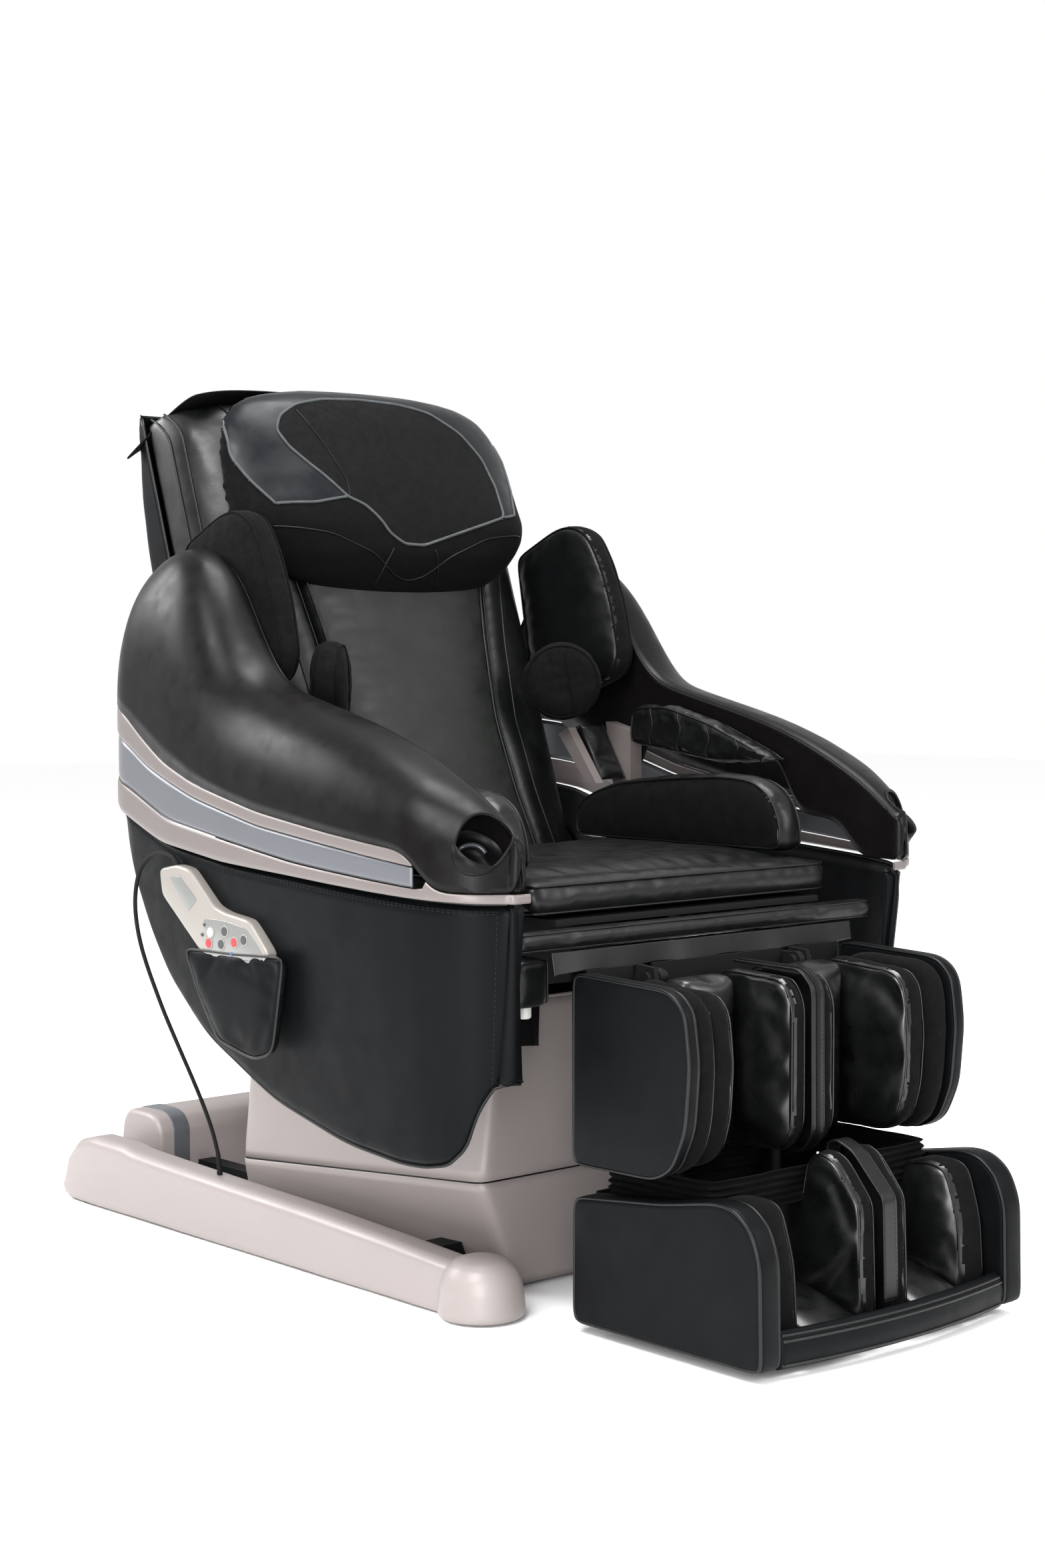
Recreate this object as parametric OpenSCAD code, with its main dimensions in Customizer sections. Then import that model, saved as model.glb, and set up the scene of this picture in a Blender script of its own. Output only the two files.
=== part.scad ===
// Reclining massage chair with leg rest, sliding foot rest and a roller carriage in its back.
// Origin on the floor under the middle of the chair. +Z up, the sitter faces -Y, +X is the sitter's left.

/* [Overall] */
// Half the chair's width at the trim band
half_w = 474; // [468:1:480]
// Depth behind the origin of the floor rails
rail_back = 725; // [700:1:740]
// Depth before the origin of the foot unit
foot_front = 725; // [710:1:735]

/* [Backrest] */
// Height of the recline pivot
recline_z = 430; // [420:1:440]
// Depth of the recline pivot
recline_y = 150; // [145:1:155]
// Lean of the back at rest, degrees
back_lean = 18.8; // [17:0.1:20]
// Half the width of the rear shell
back_half = 302; // [298:1:304]

/* [Legs] */
// Height of the leg-rest pivot
leg_z = 448; // [444:1:450]
// Depth of the leg-rest pivot
leg_y = -426; // [-428:1:-425]
// Radius of the sliding rods and of the hinge pins
rod_r = 8; // [7:0.5:8]

/* [Seat] */
// Height of the seat's top
seat_top = 576; // [574:1:576]
// Half the width of the seat cushion
seat_half = 284; // [276:1:284]

/* [Hidden] */
$fn = 40;

fit = 0.05;          // radial clearance of a running fit
cover_gap = 1;       // gap between an arm shell and the trim band under it
pad_r = 12;          // rounding of soft pads
glide_h = 3;         // rubber glides under the rails
rail_in = 262;
rail_out = 325;
dome_x = 288;
dome_y = -260;
arm_in = 352;        // inner face of the arms
arm_wall = 12;
slide_x = 95;        // sideways place of the foot rest's rods
leg_arm_x = 128;     // inner face of the leg-rest brackets
wheel_y = 644;       // transport wheels behind the rails
wheel_z = 40;
wheel_r = 37;
axle_r = 6;
key_r = 6;
roller_r = 24;
roller_u = 72;
roller_v = 62;
roller_x = 76;
roller_w = 20;
knead_x = 62;
rail_u = 125;        // sideways place of the carriage's guide tubes
rail_v = 85;
carriage_u = 260;

// Outlines along the side of the chair: value against depth
plan = [[-412, 376], [-405, 398], [-385, 422], [-350, 444], [-300, 460], [-200, 471], [-60, half_w],
    [50, half_w - 1], [200, 466], [337, 452], [380, 430], [414, 392], [425, 366]];
ridge = [[-412, 640], [-363, 679], [-299, 713], [-233, 743], [-165, 766], [-95, 784], [-23, 801],
    [53, 820], [91, 844], [130, 899], [161, 959], [209, 1005], [255, 1016], [309, 1000], [340, 975],
    [371, 939], [398, 882], [425, 830]];
band_top = [[-412, 571], [-345, 573], [-327, 602], [-308, 621], [-248, 628], [-166, 638],
    [-22, 657], [132, 688], [213, 715], [280, 750], [322, 777], [370, 792], [425, 798]];
inlay_top = [[-327, 600], [-166, 620], [-22, 637], [132, 667], [255, 704], [328, 739], [425, 758]];
inlay_low = [[-341, 574], [-95, 595], [198, 634], [325, 677], [425, 697]];
panel_top = [[-412, 555], [-366, 558], [-228, 566], [-88, 575], [61, 583], [222, 601], [337, 637],
    [425, 655]];
panel_low = [[-412, 330], [-400, 290], [-380, 248], [-350, 226], [-300, 218], [-255, 218],
    [-144, 231], [2, 267], [158, 334], [256, 407], [298, 465], [323, 520], [360, 580], [425, 630]];

// Handset: where its keys are, depth and height
remote_x = -471;
key_red = [89, 473];
key_white = [85, 488];
key_oval_upper = [52, 492];
key_oval_lower = [60, 474];
key_oval_red = [30, 479];
key_ring = [8, 484];

// Handset cord: route of its middle
cord_d = 6;
cord_route = [[-461, 178, 570], [-461, 184, 578], [-461, 194, 584], [-461, 212, 587],
    [-461, 232, 585], [-461, 254, 576], [-461, 272, 560], [-460, 284, 538], [-458, 291, 510],
    [-454, 293, 480], [-448, 292, 450], [-438, 291, 418], [-424, 292, 384], [-408, 295, 350],
    [-390, 299, 316], [-370, 304, 280], [-350, 309, 244], [-330, 314, 206], [-312, 319, 168],
    [-299, 323, 132], [-294, 325, 108], [-293, 325, 89]];

// ---- helpers

module both() {
    children();
    mirror([1, 0, 0]) children();
}

// Plate from x0 to x1 with an outline of [depth, height] points
module side_plate(x0, x1, outline)
    translate([x0, 0, 0]) rotate([90, 0, 90]) linear_extrude(x1 - x0) polygon(outline);

module box(low, high) translate(low) cube(high - low);

module rod_x(x0, x1, y, z, r) translate([x0, y, z]) rotate([0, 90, 0]) cylinder(h = x1 - x0, r = r);

// Soft block with broken edges
module soft(low, high, r = pad_r) hull() {
    box(low + [r, r, 0], high - [r, r, 0]);
    box(low + [r, 0, r], high - [r, 0, r]);
    box(low + [0, r, r], high - [0, r, r]);
}

// Solid through rings of points, each ring in its own plane
module loft(rings, backwards = false) {
    n = len(rings[0]);
    m = len(rings);
    run = backwards ? [for (i = [m - 1:-1:0]) rings[i]] : rings;
    side = [for (i = [0:m - 2], j = [0:n - 1]) each [
        [i * n + j, (i + 1) * n + j, i * n + (j + 1) % n],
        [(i + 1) * n + j, (i + 1) * n + (j + 1) % n, i * n + (j + 1) % n]]];
    first = [for (j = [0:n - 1]) j];
    last = [for (j = [n - 1:-1:0]) (m - 1) * n + j];
    polyhedron([for (r = run) each r], concat([first], side, [last]), convexity = 10);
}

// Places children in the back's own frame: x sideways, y from its front to its rear, z up the back
module on_back() translate([0, 120, 545]) rotate([-back_lean, 0, 0]) children();

// Skin that follows the side of the chair between two heights, drawn in by out and leaning inward below
module side_skin(depths, low, high, out, lean, thick)
    loft([for (y = depths) let (x = lookup(y, plan) - out, a = lookup(y, low), b = lookup(y, high),
        s = lean * (b - a))
        [[x - s, y, a], [x, y, b], [x - thick, y, b], [x - thick - s, y, a]]], true);

// ---- base

module floor_rails() color("#a39a97") both() {
    side_plate(rail_in, rail_out, [[dome_y, glide_h], [700, glide_h], [rail_back, 14],
        [rail_back - 2, 40], [640, 108], [552, 106], [528, 97], [dome_y, 68]]);
    translate([dome_x, dome_y, 0]) rotate_extrude($fn = 48)
        polygon([[0, glide_h], [56, glide_h], [58, 8], [56, 40], [48, 64], [32, 77], [0, 82]]);
}

module floor_glides() color("#222222") both() {
    translate([dome_x, dome_y, 0]) cylinder(h = glide_h, r = 40);
    translate([293, 660, 0]) cylinder(h = glide_h, r = 24);
}

module rear_housing() color("#a8a09d") difference() {
    side_plate(-234, 234, [[575, 14], [575, 118], [590, 136], [612, 140], [668, 140], [684, 126],
        [690, 100], [690, 14]]);
    side_plate(-228, 228, [[581, 0], [581, 116], [594, 131], [613, 134], [666, 134], [679, 122],
        [684, 98], [684, 0]]);
    both() box([126, 570, 0], [164, 590, 64]);
    box([-91, 680, 59], [-41, 700, 89]);
    box([19, 680, 61], [49, 700, 85]);
}

// Rings of the base covers: half width and depth at front and back
function cover_ring(front_w, front_y, front_z, back_w, back_y, back_z, t = 0) = [
    [-front_w + t, front_y + t, front_z], [front_w - t, front_y + t, front_z],
    [back_w - t, back_y - t, back_z], [-back_w + t, back_y - t, back_z]];

module base_cover_lower() color("#a39a97") difference() {
    loft([cover_ring(173, -190, 6, 235, 330, 6), cover_ring(236, -198, 157, 250, 335, 113)]);
    loft([cover_ring(173, -190, 5, 235, 330, 5, 5), cover_ring(236, -198, 159, 250, 335, 115, 5)]);
    box([-300, -121, 0], [300, -79, 62]);
    box([-300, 239, 0], [300, 281, 62]);
    both() box([128, 300, 0], [162, 350, 62]);
}

module base_cover_upper() color("#aaa29f") difference() {
    loft([cover_ring(235, -198, 158, 249, 335, 114), cover_ring(202, -196, 402, 236, 330, 290)]);
    loft([cover_ring(235, -198, 157, 249, 335, 113, 5), cover_ring(202, -196, 397, 236, 330, 285, 5)]);
    box([-212, -136, 320], [212, 190, 460]);
}

module base_frame() color("#333638") {
    for (y = [-120, 240]) box([-rail_in, y, 20], [rail_in, y + 40, 60]);
    both() {
        box([130, -160, 20], [160, 640, 60]);
        box([130, -80, 60], [160, -40, 330]);
        box([130, 110, 60], [160, 150, 330]);
        box([130, -130, 300], [160, 150, 330]);
    }
    box([-165, 600, 60], [165, 640, 84]);
    both() {
        box([150, wheel_y - 16, 26], [165, wheel_y + 16, 84]);
        rod_x(165, 212, wheel_y, wheel_z, axle_r);
    }
}

module seat_frame() color("#3a3d40") {
    both() side_plate(196, 204, [[-340, 440], [-340, 516], [88, 516], [112, 476], [150, 458],
        [176, 442], [178, 420], [160, 402], [110, 330], [-70, 330], [-130, 402]]);
    for (y = [-60, 100]) box([-196, y, 330], [196, y + 30, 350]);
    box([-250, -361, 516], [250, 92, 524]);
    both() {
        box([leg_arm_x, -345, 436], [leg_arm_x + 10, -300, 516]);
        box([leg_arm_x, leg_y, leg_z - 11], [leg_arm_x + 10, -300, leg_z + 11]);
        rod_x(leg_arm_x, leg_arm_x + 10, leg_y, leg_z, 12);
        rod_x(120, 156, leg_y, leg_z, rod_r);
        rod_x(204, 222, recline_y, recline_z, 10);
    }
}

module seat_cushion() color("#141516") soft([-seat_half, -358, 526], [seat_half, 96, seat_top]);

module front_valance() color("#17181a") soft([-340, -392, 488], [340, -362, 514]);

module seat_skirts() color("#0e0f10") {
    box([-285, -395, 460], [285, -391, 487]);
    both() box([212, -292, 350], [262, -288, 430]);
}

module knee_blocks() color("#121314") both() {
    soft([252, -360, 413], [316, -300, 478]);
    translate([268, -322, 396]) cylinder(h = 18, r = 9);
}

// ---- sides

arm_depths = [-412, -405, -385, -363, -345, -327, -308, -299, -270, -248, -233, -200, -166, -150, -95,
    -60, -22, 53, 91, 132, 161, 213, 255, 280, 309, 322, 340, 370, 398, 414, 425];

// Section of an arm at one depth, drawn in by t on every side
function arm_ring(y, t) = let (xo = lookup(y, plan) - t, xi = arm_in + t, a = lookup(y, band_top) + cover_gap + t,
    b = lookup(y, ridge) - t, h = b - a, xr = min(400, (xi + xo) / 2)) [
    [xi, y, a], [xo, y, a], [xo, y, a + 0.3 * h], [xo - 0.18 * (xo - xr), y, a + 0.6 * h],
    [xo - 0.5 * (xo - xr), y, a + 0.84 * h], [xr + 6, y, b - 1], [xr - 8, y, b],
    [xi + 0.4 * (xr - xi), y, b - 3], [xi, y, b - 16]];

module arm_shell() difference() {
    loft([for (y = arm_depths) arm_ring(y, 0)], true);
    loft([for (y = arm_depths) if (y > -360 && y < 400) arm_ring(y, arm_wall)], true);
    side_plate(arm_in - 10, arm_in + arm_wall + 10, [[92, 690], [92, 800], [-60, 782], [-150, 752],
        [-205, 724], [-218, 690], [-218, 645]]);
    port_axis() cylinder(h = 60, r = 34);
}

module port_axis() translate([395, -378, 622]) rotate([38, 0, 0]) translate([0, 0, -18]) children();

module arm_shell_left() color("#1a1716") arm_shell();
module arm_shell_right() color("#1a1716") mirror([1, 0, 0]) arm_shell();

module port_liners() color("#0c0c0d") both() intersection() {
    port_axis() rotate_extrude() polygon([[0, 0], [33.5, 0], [33.5, 60], [29, 60], [29, 4], [0, 4]]);
    loft([for (y = arm_depths) arm_ring(y, 0)], true);
}

band_depths = [-412, -405, -385, -350, -345, -327, -308, -248, -166, -95, -22, 61, 132, 198, 213, 255,
    280, 322, 337, 370, 380, 414, 425];

module trim_strips() color("#b3aaa7") both() side_skin(band_depths, panel_top, band_top, 2, 0, 8);

module trim_inlays() color("#7f878f") both()
    side_skin([for (y = band_depths) if (y > -330) y], inlay_low, inlay_top, 0, 0, 1.9);

panel_depths = [-412, -405, -400, -385, -366, -350, -300, -255, -144, -88, 2, 61, 158, 222, 256, 298,
    323, 337, 380, 414, 425];

module side_panel() side_skin(panel_depths, panel_low, panel_top, 20, 0.1, 12);
module side_panel_left() color("#17191b") side_panel();
module side_panel_right() color("#17191b") mirror([1, 0, 0]) side_panel();

module forearm_pads() color("#141415") both()
    side_plate(304, 348, [[86, 722], [80, 786], [0, 788], [-90, 765], [-200, 722], [-229, 702],
        [-100, 697]]);

module hip_pads() color("#0f0f10") both()
    side_plate(234, 290, [[134, 577], [128, 632], [90, 652], [30, 669], [-80, 679], [-179, 682],
        [-232, 675], [-275, 650], [-300, 606], [-304, 577]]);

module side_struts() color("#b3aaa7") both() {
    side_plate(244, 260, [[150, 748], [172, 738], [108, 664], [86, 664]]);
    side_plate(322, 346, [[146, 756], [90, 742], [90, 640], [126, 640]]);
}

module side_straps() color("#1b1b1c") both()
    side_plate(264, 320, [[148, 758], [166, 744], [112, 664], [90, 664]]);

// ---- handset and services

module remote_pocket() color("#151719") difference() {
    side_plate(-474, -447, [[152, 462], [-83, 472], [-57, 338], [-12, 323], [71, 340], [110, 390]]);
    side_plate(-472, -449, [[146, 480], [-77, 480], [-52, 342], [-11, 329], [67, 346], [104, 393]]);
}

module key_axis(k) translate([remote_x, k[0], k[1]]) rotate([0, -90, 0]) children();

module remote_body() color("#b9b4b0") difference() {
    side_plate(remote_x, remote_x + 20, [[213, 567], [170, 576], [138, 572], [81, 526], [55, 519],
        [-1, 513], [-45, 470], [-30, 440], [10, 430], [110, 458], [207, 530]]);
    for (k = [key_red, key_white, key_oval_upper, key_oval_lower, key_oval_red, key_ring])
        key_axis(k) translate([0, 0, -6]) cylinder(h = 10, r = key_r + 0.3);
}

// One key: a plunger in its hole
module key(k) key_axis(k) translate([0, 0, -4]) cylinder(h = 6, r = key_r);
module button_red() color("#b01020") key(key_red);
module button_white() color("#e8e8e8") key(key_white);
module button_oval_upper() color("#303540") key(key_oval_upper);
module button_oval_lower() color("#303540") key(key_oval_lower);
module button_oval_red() color("#501820") key(key_oval_red);
module button_ring() color("#202020") key(key_ring);

// Ring of points round a route, upright to its run
function along(p, i) = let (a = p[max(i - 1, 0)], b = p[min(i + 1, len(p) - 1)]) (b - a) / norm(b - a);
function cord_ring(p, i, r, n) = let (t = along(p, i), s = cross(t, [1, 0.2, 0]), u = s / norm(s),
    v = cross(t, u)) [for (k = [0:n - 1]) p[i] + r * (cos(360 * k / n) * u + sin(360 * k / n) * v)];
// Route with a point between each two, on a smooth curve
function mid(p, i) = let (a = p[max(i - 1, 0)], b = p[i], c = p[i + 1], d = p[min(i + 2, len(p) - 1)])
    (9 * b + 9 * c - a - d) / 16;
cord_points = [for (i = [0:2 * len(cord_route) - 2]) i % 2 == 0 ? cord_route[i / 2]
    : mid(cord_route, (i - 1) / 2)];

module remote_cord() color("#101010")
    loft([for (i = [0:len(cord_points) - 1]) cord_ring(cord_points, i, cord_d / 2, 8)]);

module power_inlet() color("#1c1c1c") difference() {
    box([-90, 664, 60], [-42, 690, 88]);
    box([-84, 672, 65], [-48, 700, 83]);
}

module power_switch() color("#181818") translate([34, 688, 73]) rotate([0, 90, 0])
    translate([0, 0, -13]) {
        cylinder(h = 26, r = 5);
        translate([-10, -2, 0]) cube([20, 5, 26]);
    }

module air_pump() color("#55585b") {
    box([-110, 20, 62], [-20, 120, 72]);
    for (x = [-88, -42]) translate([x, 70, 72]) cylinder(h = 70, r = 20);
}

module control_board() color("#1f5a34") {
    box([10, 0, 64], [118, 140, 67]);
    for (x = [28, 64], y = [20, 90]) box([x, y, 67], [x + 22, y + 26, 82]);
}

module lift_motors() color("#4a4d50") {
    for (x = [-60, 20]) {
        rod_x(x, x + 40, 40, 250, 32);
        box([x + 5, 40, 180], [x + 35, 60, 225]);
    }
}

module wheel() difference() {
    rod_x(170, 206, wheel_y, wheel_z, wheel_r);
    rod_x(160, 216, wheel_y, wheel_z, axle_r + fit);
}
module transport_wheel_left() color("#2a2a2a") wheel();
module transport_wheel_right() color("#2a2a2a") mirror([1, 0, 0]) wheel();

// ---- back

pivot_v = (recline_y - 120) * cos(back_lean) - (recline_z - 545) * sin(back_lean);
pivot_u = (recline_y - 120) * sin(back_lean) + (recline_z - 545) * cos(back_lean);

module back_frame() color("#3a3d40") on_back() {
    both() {
        difference() {
            union() {
                rod_x(206, 214, pivot_v, pivot_u, 22);
                side_plate(206, 214, [[pivot_v - 20, pivot_u + 8], [pivot_v + 20, pivot_u + 8],
                    [100, 0], [70, 0]]);
            }
            rod_x(200, 220, pivot_v, pivot_u, 10 + fit);
        }
        box([206, 70, 0], [226, 100, 700]);
        translate([rail_u, rail_v, 0]) cylinder(h = 710, r = rod_r);
    }
    box([-206, 70, 0], [206, 100, 20]);
    box([-206, 70, 690], [206, 100, 710]);
}

module back_shell() color("#151416") on_back() difference() {
    side_plate(-back_half, back_half, [[150, 0], [190, 0], [225, 200], [240, 480], [232, 620], [204, 735],
        [170, 764], [150, 764]]);
    side_plate(8 - back_half, back_half - 8, [[140, 8], [183, 8], [217, 200], [232, 480], [224, 618], [198, 730],
        [166, 756], [140, 756]]);
}

module back_bolsters() color("#131415") on_back() both() linear_extrude(700)
    polygon([[187, 8], [240, 30], [280, 50], [299, 95], [299, 148], [236, 148], [236, 42], [187, 42]]);

module back_pad() color("#22251f") on_back() soft([-185, 0, 0], [185, 35, 686]);

module head_pillow() color("#16191d") on_back() hull() {
    for (s = [-1, 1]) {
        translate([s * 225, -30, 560]) sphere(28, $fn = 16);
        translate([s * 252, -30, 670]) sphere(28, $fn = 16);
        translate([s * 190, -30, 724]) sphere(26, $fn = 16);
        translate([s * 150, -30, 455]) sphere(26, $fn = 16);
        translate([s * 190, -50, 530]) sphere(26, $fn = 16);
    }
}

module top_flap() color("#101010") on_back() box([-270, 30, 767], [270, 162, 773]);

module shoulder_pads() color("#1a1a1b") on_back() both()
    side_plate(300, 345, [[-98, 262], [-122, 290], [-130, 370], [-118, 440], [-84, 512], [-44, 530],
        [60, 520], [95, 300], [60, 262]]);

module waist_pads() color("#151515") both() translate([224, 142, 820]) rotate([0, 0, -42])
    rotate([90, 0, 0]) translate([0, 0, -24]) cylinder(h = 50, r = 64);

module carriage() color("#2b2d30") on_back() difference() {
    union() {
        box([-145, 72, carriage_u - 45], [145, 98, carriage_u + 45]);
        box([-60, 98, carriage_u - 40], [60, 146, carriage_u + 40]);
        both() translate([knead_x, 72, carriage_u]) rotate([90, 0, 0]) cylinder(h = 20, r = 7);
    }
    both() translate([rail_u, rail_v, carriage_u - 60]) cylinder(h = 120, r = rod_r + fit);
}

module knead_arm() on_back() {
    difference() {
        box([knead_x - 10, 54, carriage_u - 80], [knead_x + 10, 70, carriage_u + 80]);
        translate([knead_x, 90, carriage_u]) rotate([90, 0, 0]) cylinder(h = 60, r = 7 + fit);
    }
    for (u = [carriage_u - roller_u, carriage_u + roller_u])
        rod_x(knead_x + 10, knead_x + 36, roller_v, u, 5);
}
module knead_arm_left() color("#45484c") knead_arm();
module knead_arm_right() color("#45484c") mirror([1, 0, 0]) knead_arm();

module roller(u) on_back() difference() {
    rod_x(roller_x, roller_x + roller_w, roller_v, carriage_u + u, roller_r);
    rod_x(roller_x - 5, roller_x + roller_w + 5, roller_v, carriage_u + u, 5 + fit);
}
module roller_left_upper() color("#c9c4b8") roller(roller_u);
module roller_left_lower() color("#c9c4b8") roller(-roller_u);
module roller_right_upper() color("#c9c4b8") mirror([1, 0, 0]) roller(roller_u);
module roller_right_lower() color("#c9c4b8") mirror([1, 0, 0]) roller(-roller_u);

// ---- leg rest

module calf_frame() color("#3a3d40") difference() {
    union() {
        box([-238, -408, 225], [238, -404, 464]);
        both() {
            translate([slide_x, -424, 225]) cylinder(h = 195, r = 14);
            side_plate(141, 149, [[-408, 425], [-436, 425], [-440, 440], [-436, 462], [-408, 464]]);
        }
    }
    both() {
        box([122, -412, 428], [140.9, -400, 470]);
        box([149.1, -412, 438], [158, -400, 470]);
        translate([slide_x, -424, 200]) cylinder(h = 260, r = rod_r + fit);
        rod_x(140, 150, leg_y, leg_z, rod_r + fit);
    }
}

module calf_sides() color("#17191b") both()
    side_plate(242, 264, [[-404, 218], [-552, 220], [-585, 237], [-607, 289], [-614, 370],
        [-606, 433], [-590, 452], [-572, 460], [-404, 466]]);

module calf_pads() color("#131415") {
    both() {
        soft([160, -606, 222], [241, -446, 460]);
        soft([52, -500, 222], [156, -446, 456]);
    }
    soft([-46, -584, 222], [46, -446, 462]);
}

// ---- foot rest

module foot_frame() color("#3a3d40") {
    both() translate([slide_x, -424, 24]) cylinder(h = 376, r = rod_r);
    both() translate([slide_x, -424, 24]) cylinder(h = 60, r = 16);
    box([-210, -696, 14], [210, -394, 24]);
}

module foot_shell() color("#151719") {
    both() side_plate(212, 252, [[-392, 12], [-392, 178], [-552, 196], [-640, 212], [-672, 210],
        [-702, 188], [-718, 150], [-720, 12]]);
    loft([for (x = [-212, -110, 0, 110, 212]) let (f = -foot_front + 8 * pow(x / 212, 2))
        [[x, f, 12], [x, f, 58], [x, f + 18, 62], [x, f + 18, 12]]], true);
    box([-212, -400, 24], [212, -392, 176]);
}

module foot_pads() color("#111213") {
    both() {
        soft([150, -698, 26], [210, -446, 176]);
        soft([52, -560, 26], [146, -446, 172]);
    }
    side_plate(-44, 44, [[-446, 26], [-446, 170], [-604, 174], [-606, 238], [-620, 248],
        [-650, 236], [-700, 184], [-704, 26]]);
}

module foot_bellows() color("#0d0d0e") difference() {
    box([-208, -600, 179], [208, -402, 217]);
    box([-200, -592, 170], [200, -410, 230]);
}

floor_rails();
floor_glides();
rear_housing();
base_cover_lower();
base_cover_upper();
base_frame();
seat_frame();
seat_cushion();
front_valance();
seat_skirts();
arm_shell_left();
arm_shell_right();
trim_strips();
trim_inlays();
side_panel_left();
side_panel_right();
port_liners();
forearm_pads();
hip_pads();
side_struts();
side_straps();
knee_blocks();
remote_pocket();
remote_body();
remote_cord();
power_inlet();
power_switch();
air_pump();
control_board();
lift_motors();
transport_wheel_left();
transport_wheel_right();
button_red();
button_white();
button_oval_upper();
button_oval_lower();
button_oval_red();
button_ring();
back_frame();
back_shell();
back_bolsters();
back_pad();
head_pillow();
top_flap();
shoulder_pads();
waist_pads();
carriage();
knead_arm_left();
knead_arm_right();
roller_left_upper();
roller_left_lower();
roller_right_upper();
roller_right_lower();
calf_frame();
calf_sides();
calf_pads();
foot_frame();
foot_shell();
foot_pads();
foot_bellows();
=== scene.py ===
"""Looks of the massage chair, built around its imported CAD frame. Metres; the sitter faces -Y."""
import math

import bmesh
import bpy
import numpy as np
from mathutils import Matrix, Vector, kdtree
from mathutils.bvhtree import BVHTree


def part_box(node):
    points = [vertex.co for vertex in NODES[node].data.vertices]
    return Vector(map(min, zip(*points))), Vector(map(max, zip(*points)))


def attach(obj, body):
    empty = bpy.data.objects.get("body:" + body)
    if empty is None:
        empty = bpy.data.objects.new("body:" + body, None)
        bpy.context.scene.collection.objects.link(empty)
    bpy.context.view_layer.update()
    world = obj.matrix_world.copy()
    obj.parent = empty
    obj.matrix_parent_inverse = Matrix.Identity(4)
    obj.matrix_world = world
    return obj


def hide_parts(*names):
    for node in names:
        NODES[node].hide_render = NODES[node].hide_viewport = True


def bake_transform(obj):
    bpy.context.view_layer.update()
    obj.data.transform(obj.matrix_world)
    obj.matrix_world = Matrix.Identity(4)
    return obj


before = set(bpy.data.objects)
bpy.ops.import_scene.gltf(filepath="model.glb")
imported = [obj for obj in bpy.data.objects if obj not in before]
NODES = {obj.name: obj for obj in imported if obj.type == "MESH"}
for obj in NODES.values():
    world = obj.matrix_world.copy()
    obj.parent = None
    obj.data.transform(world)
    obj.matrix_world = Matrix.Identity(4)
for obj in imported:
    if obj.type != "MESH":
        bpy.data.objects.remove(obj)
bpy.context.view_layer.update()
MM = 0.001


# ---- camera

def make_camera():
    """The viewing angle: low, from the sitter's right front."""
    data = bpy.data.cameras.new("view")
    data.sensor_fit = "VERTICAL"
    data.sensor_height = 36
    data.lens = 56.3
    camera = bpy.data.objects.new("view", data)
    bpy.context.scene.collection.objects.link(camera)
    camera.location = (-2.3468, -2.6471, 0.863)
    camera.rotation_euler = (math.radians(90 - 3.046), 0, math.radians(-41.75))
    bpy.context.scene.camera = camera


# ---- mesh helpers

def link(name, mesh, body, materials):
    """A mesh as a piece that rides on a body."""
    obj = bpy.data.objects.new(name, mesh)
    bpy.context.scene.collection.objects.link(obj)
    for m in materials if isinstance(materials, (list, tuple)) else [materials]:
        mesh.materials.append(m)
    mesh.shade_smooth()
    if body:
        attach(obj, body)
    return obj


def mesh_from(name, verts, faces):
    mesh = bpy.data.meshes.new(name)
    mesh.from_pydata([tuple(v) for v in verts], [], faces)
    mesh.update()
    return mesh


def fix_normals(obj_or_mesh):
    mesh = getattr(obj_or_mesh, "data", obj_or_mesh)
    bm = bmesh.new()
    bm.from_mesh(mesh)
    bmesh.ops.remove_doubles(bm, verts=bm.verts, dist=1e-6)
    bmesh.ops.recalc_face_normals(bm, faces=bm.faces)
    bm.to_mesh(mesh)
    bm.free()
    return obj_or_mesh


def mileage(points):
    """Distance along a run of points, at each of them."""
    steps = np.linalg.norm(np.diff(np.array(points, float), axis=0), axis=1)
    return np.concatenate([[0], np.cumsum(steps)])


def mean_length(lines):
    return float(np.mean([mileage(line)[-1] for line in lines]))


def wheel(count):
    """Even angles round a full turn."""
    return np.arange(count) * 2 * math.pi / count


def bell(half, step, soft):
    """Weights of a smoothing window."""
    kernel = np.exp(-0.5 * (np.arange(-half, half + 1) * step / soft) ** 2)
    return kernel / kernel.sum()


def grid_faces(rows, cols, wrap=False):
    last = cols if wrap else cols - 1
    return [(i * cols + j, (i + 1) * cols + j, (i + 1) * cols + (j + 1) % cols, i * cols + (j + 1) % cols)
            for i in range(rows - 1) for j in range(last)]


def surface(name, points, wrap=False, caps=False):
    """A mesh through points[row][column]."""
    rows, cols = len(points), len(points[0])
    faces = grid_faces(rows, cols, wrap)
    if caps:
        faces += [tuple(range(cols)), tuple(range((rows - 1) * cols, rows * cols))]
    mesh = mesh_from(name, [p for row in points for p in row], faces)
    fix_normals(mesh)
    return mesh


def solidify(obj, thick, offset=-1.0):
    m = obj.modifiers.new("thick", "SOLIDIFY")
    m.thickness = thick
    m.offset = offset
    return m


def bevel(obj, width, segments=3, angle=35):
    m = obj.modifiers.new("edge", "BEVEL")
    m.width = width
    m.segments = segments
    m.limit_method = "ANGLE"
    m.angle_limit = math.radians(angle)
    m.harden_normals = False
    return m


def subdivide(obj, levels=1):
    m = obj.modifiers.new("fine", "SUBSURF")
    m.levels = m.render_levels = levels
    return m


def apply_all(obj):
    """Leaves the object with its modifiers' result as its own mesh."""
    bpy.context.view_layer.update()
    graph = bpy.context.evaluated_depsgraph_get()
    mesh = bpy.data.meshes.new_from_object(obj.evaluated_get(graph), depsgraph=graph)
    obj.modifiers.clear()
    old = obj.data
    obj.data = mesh
    bpy.data.meshes.remove(old)
    return obj


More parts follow.
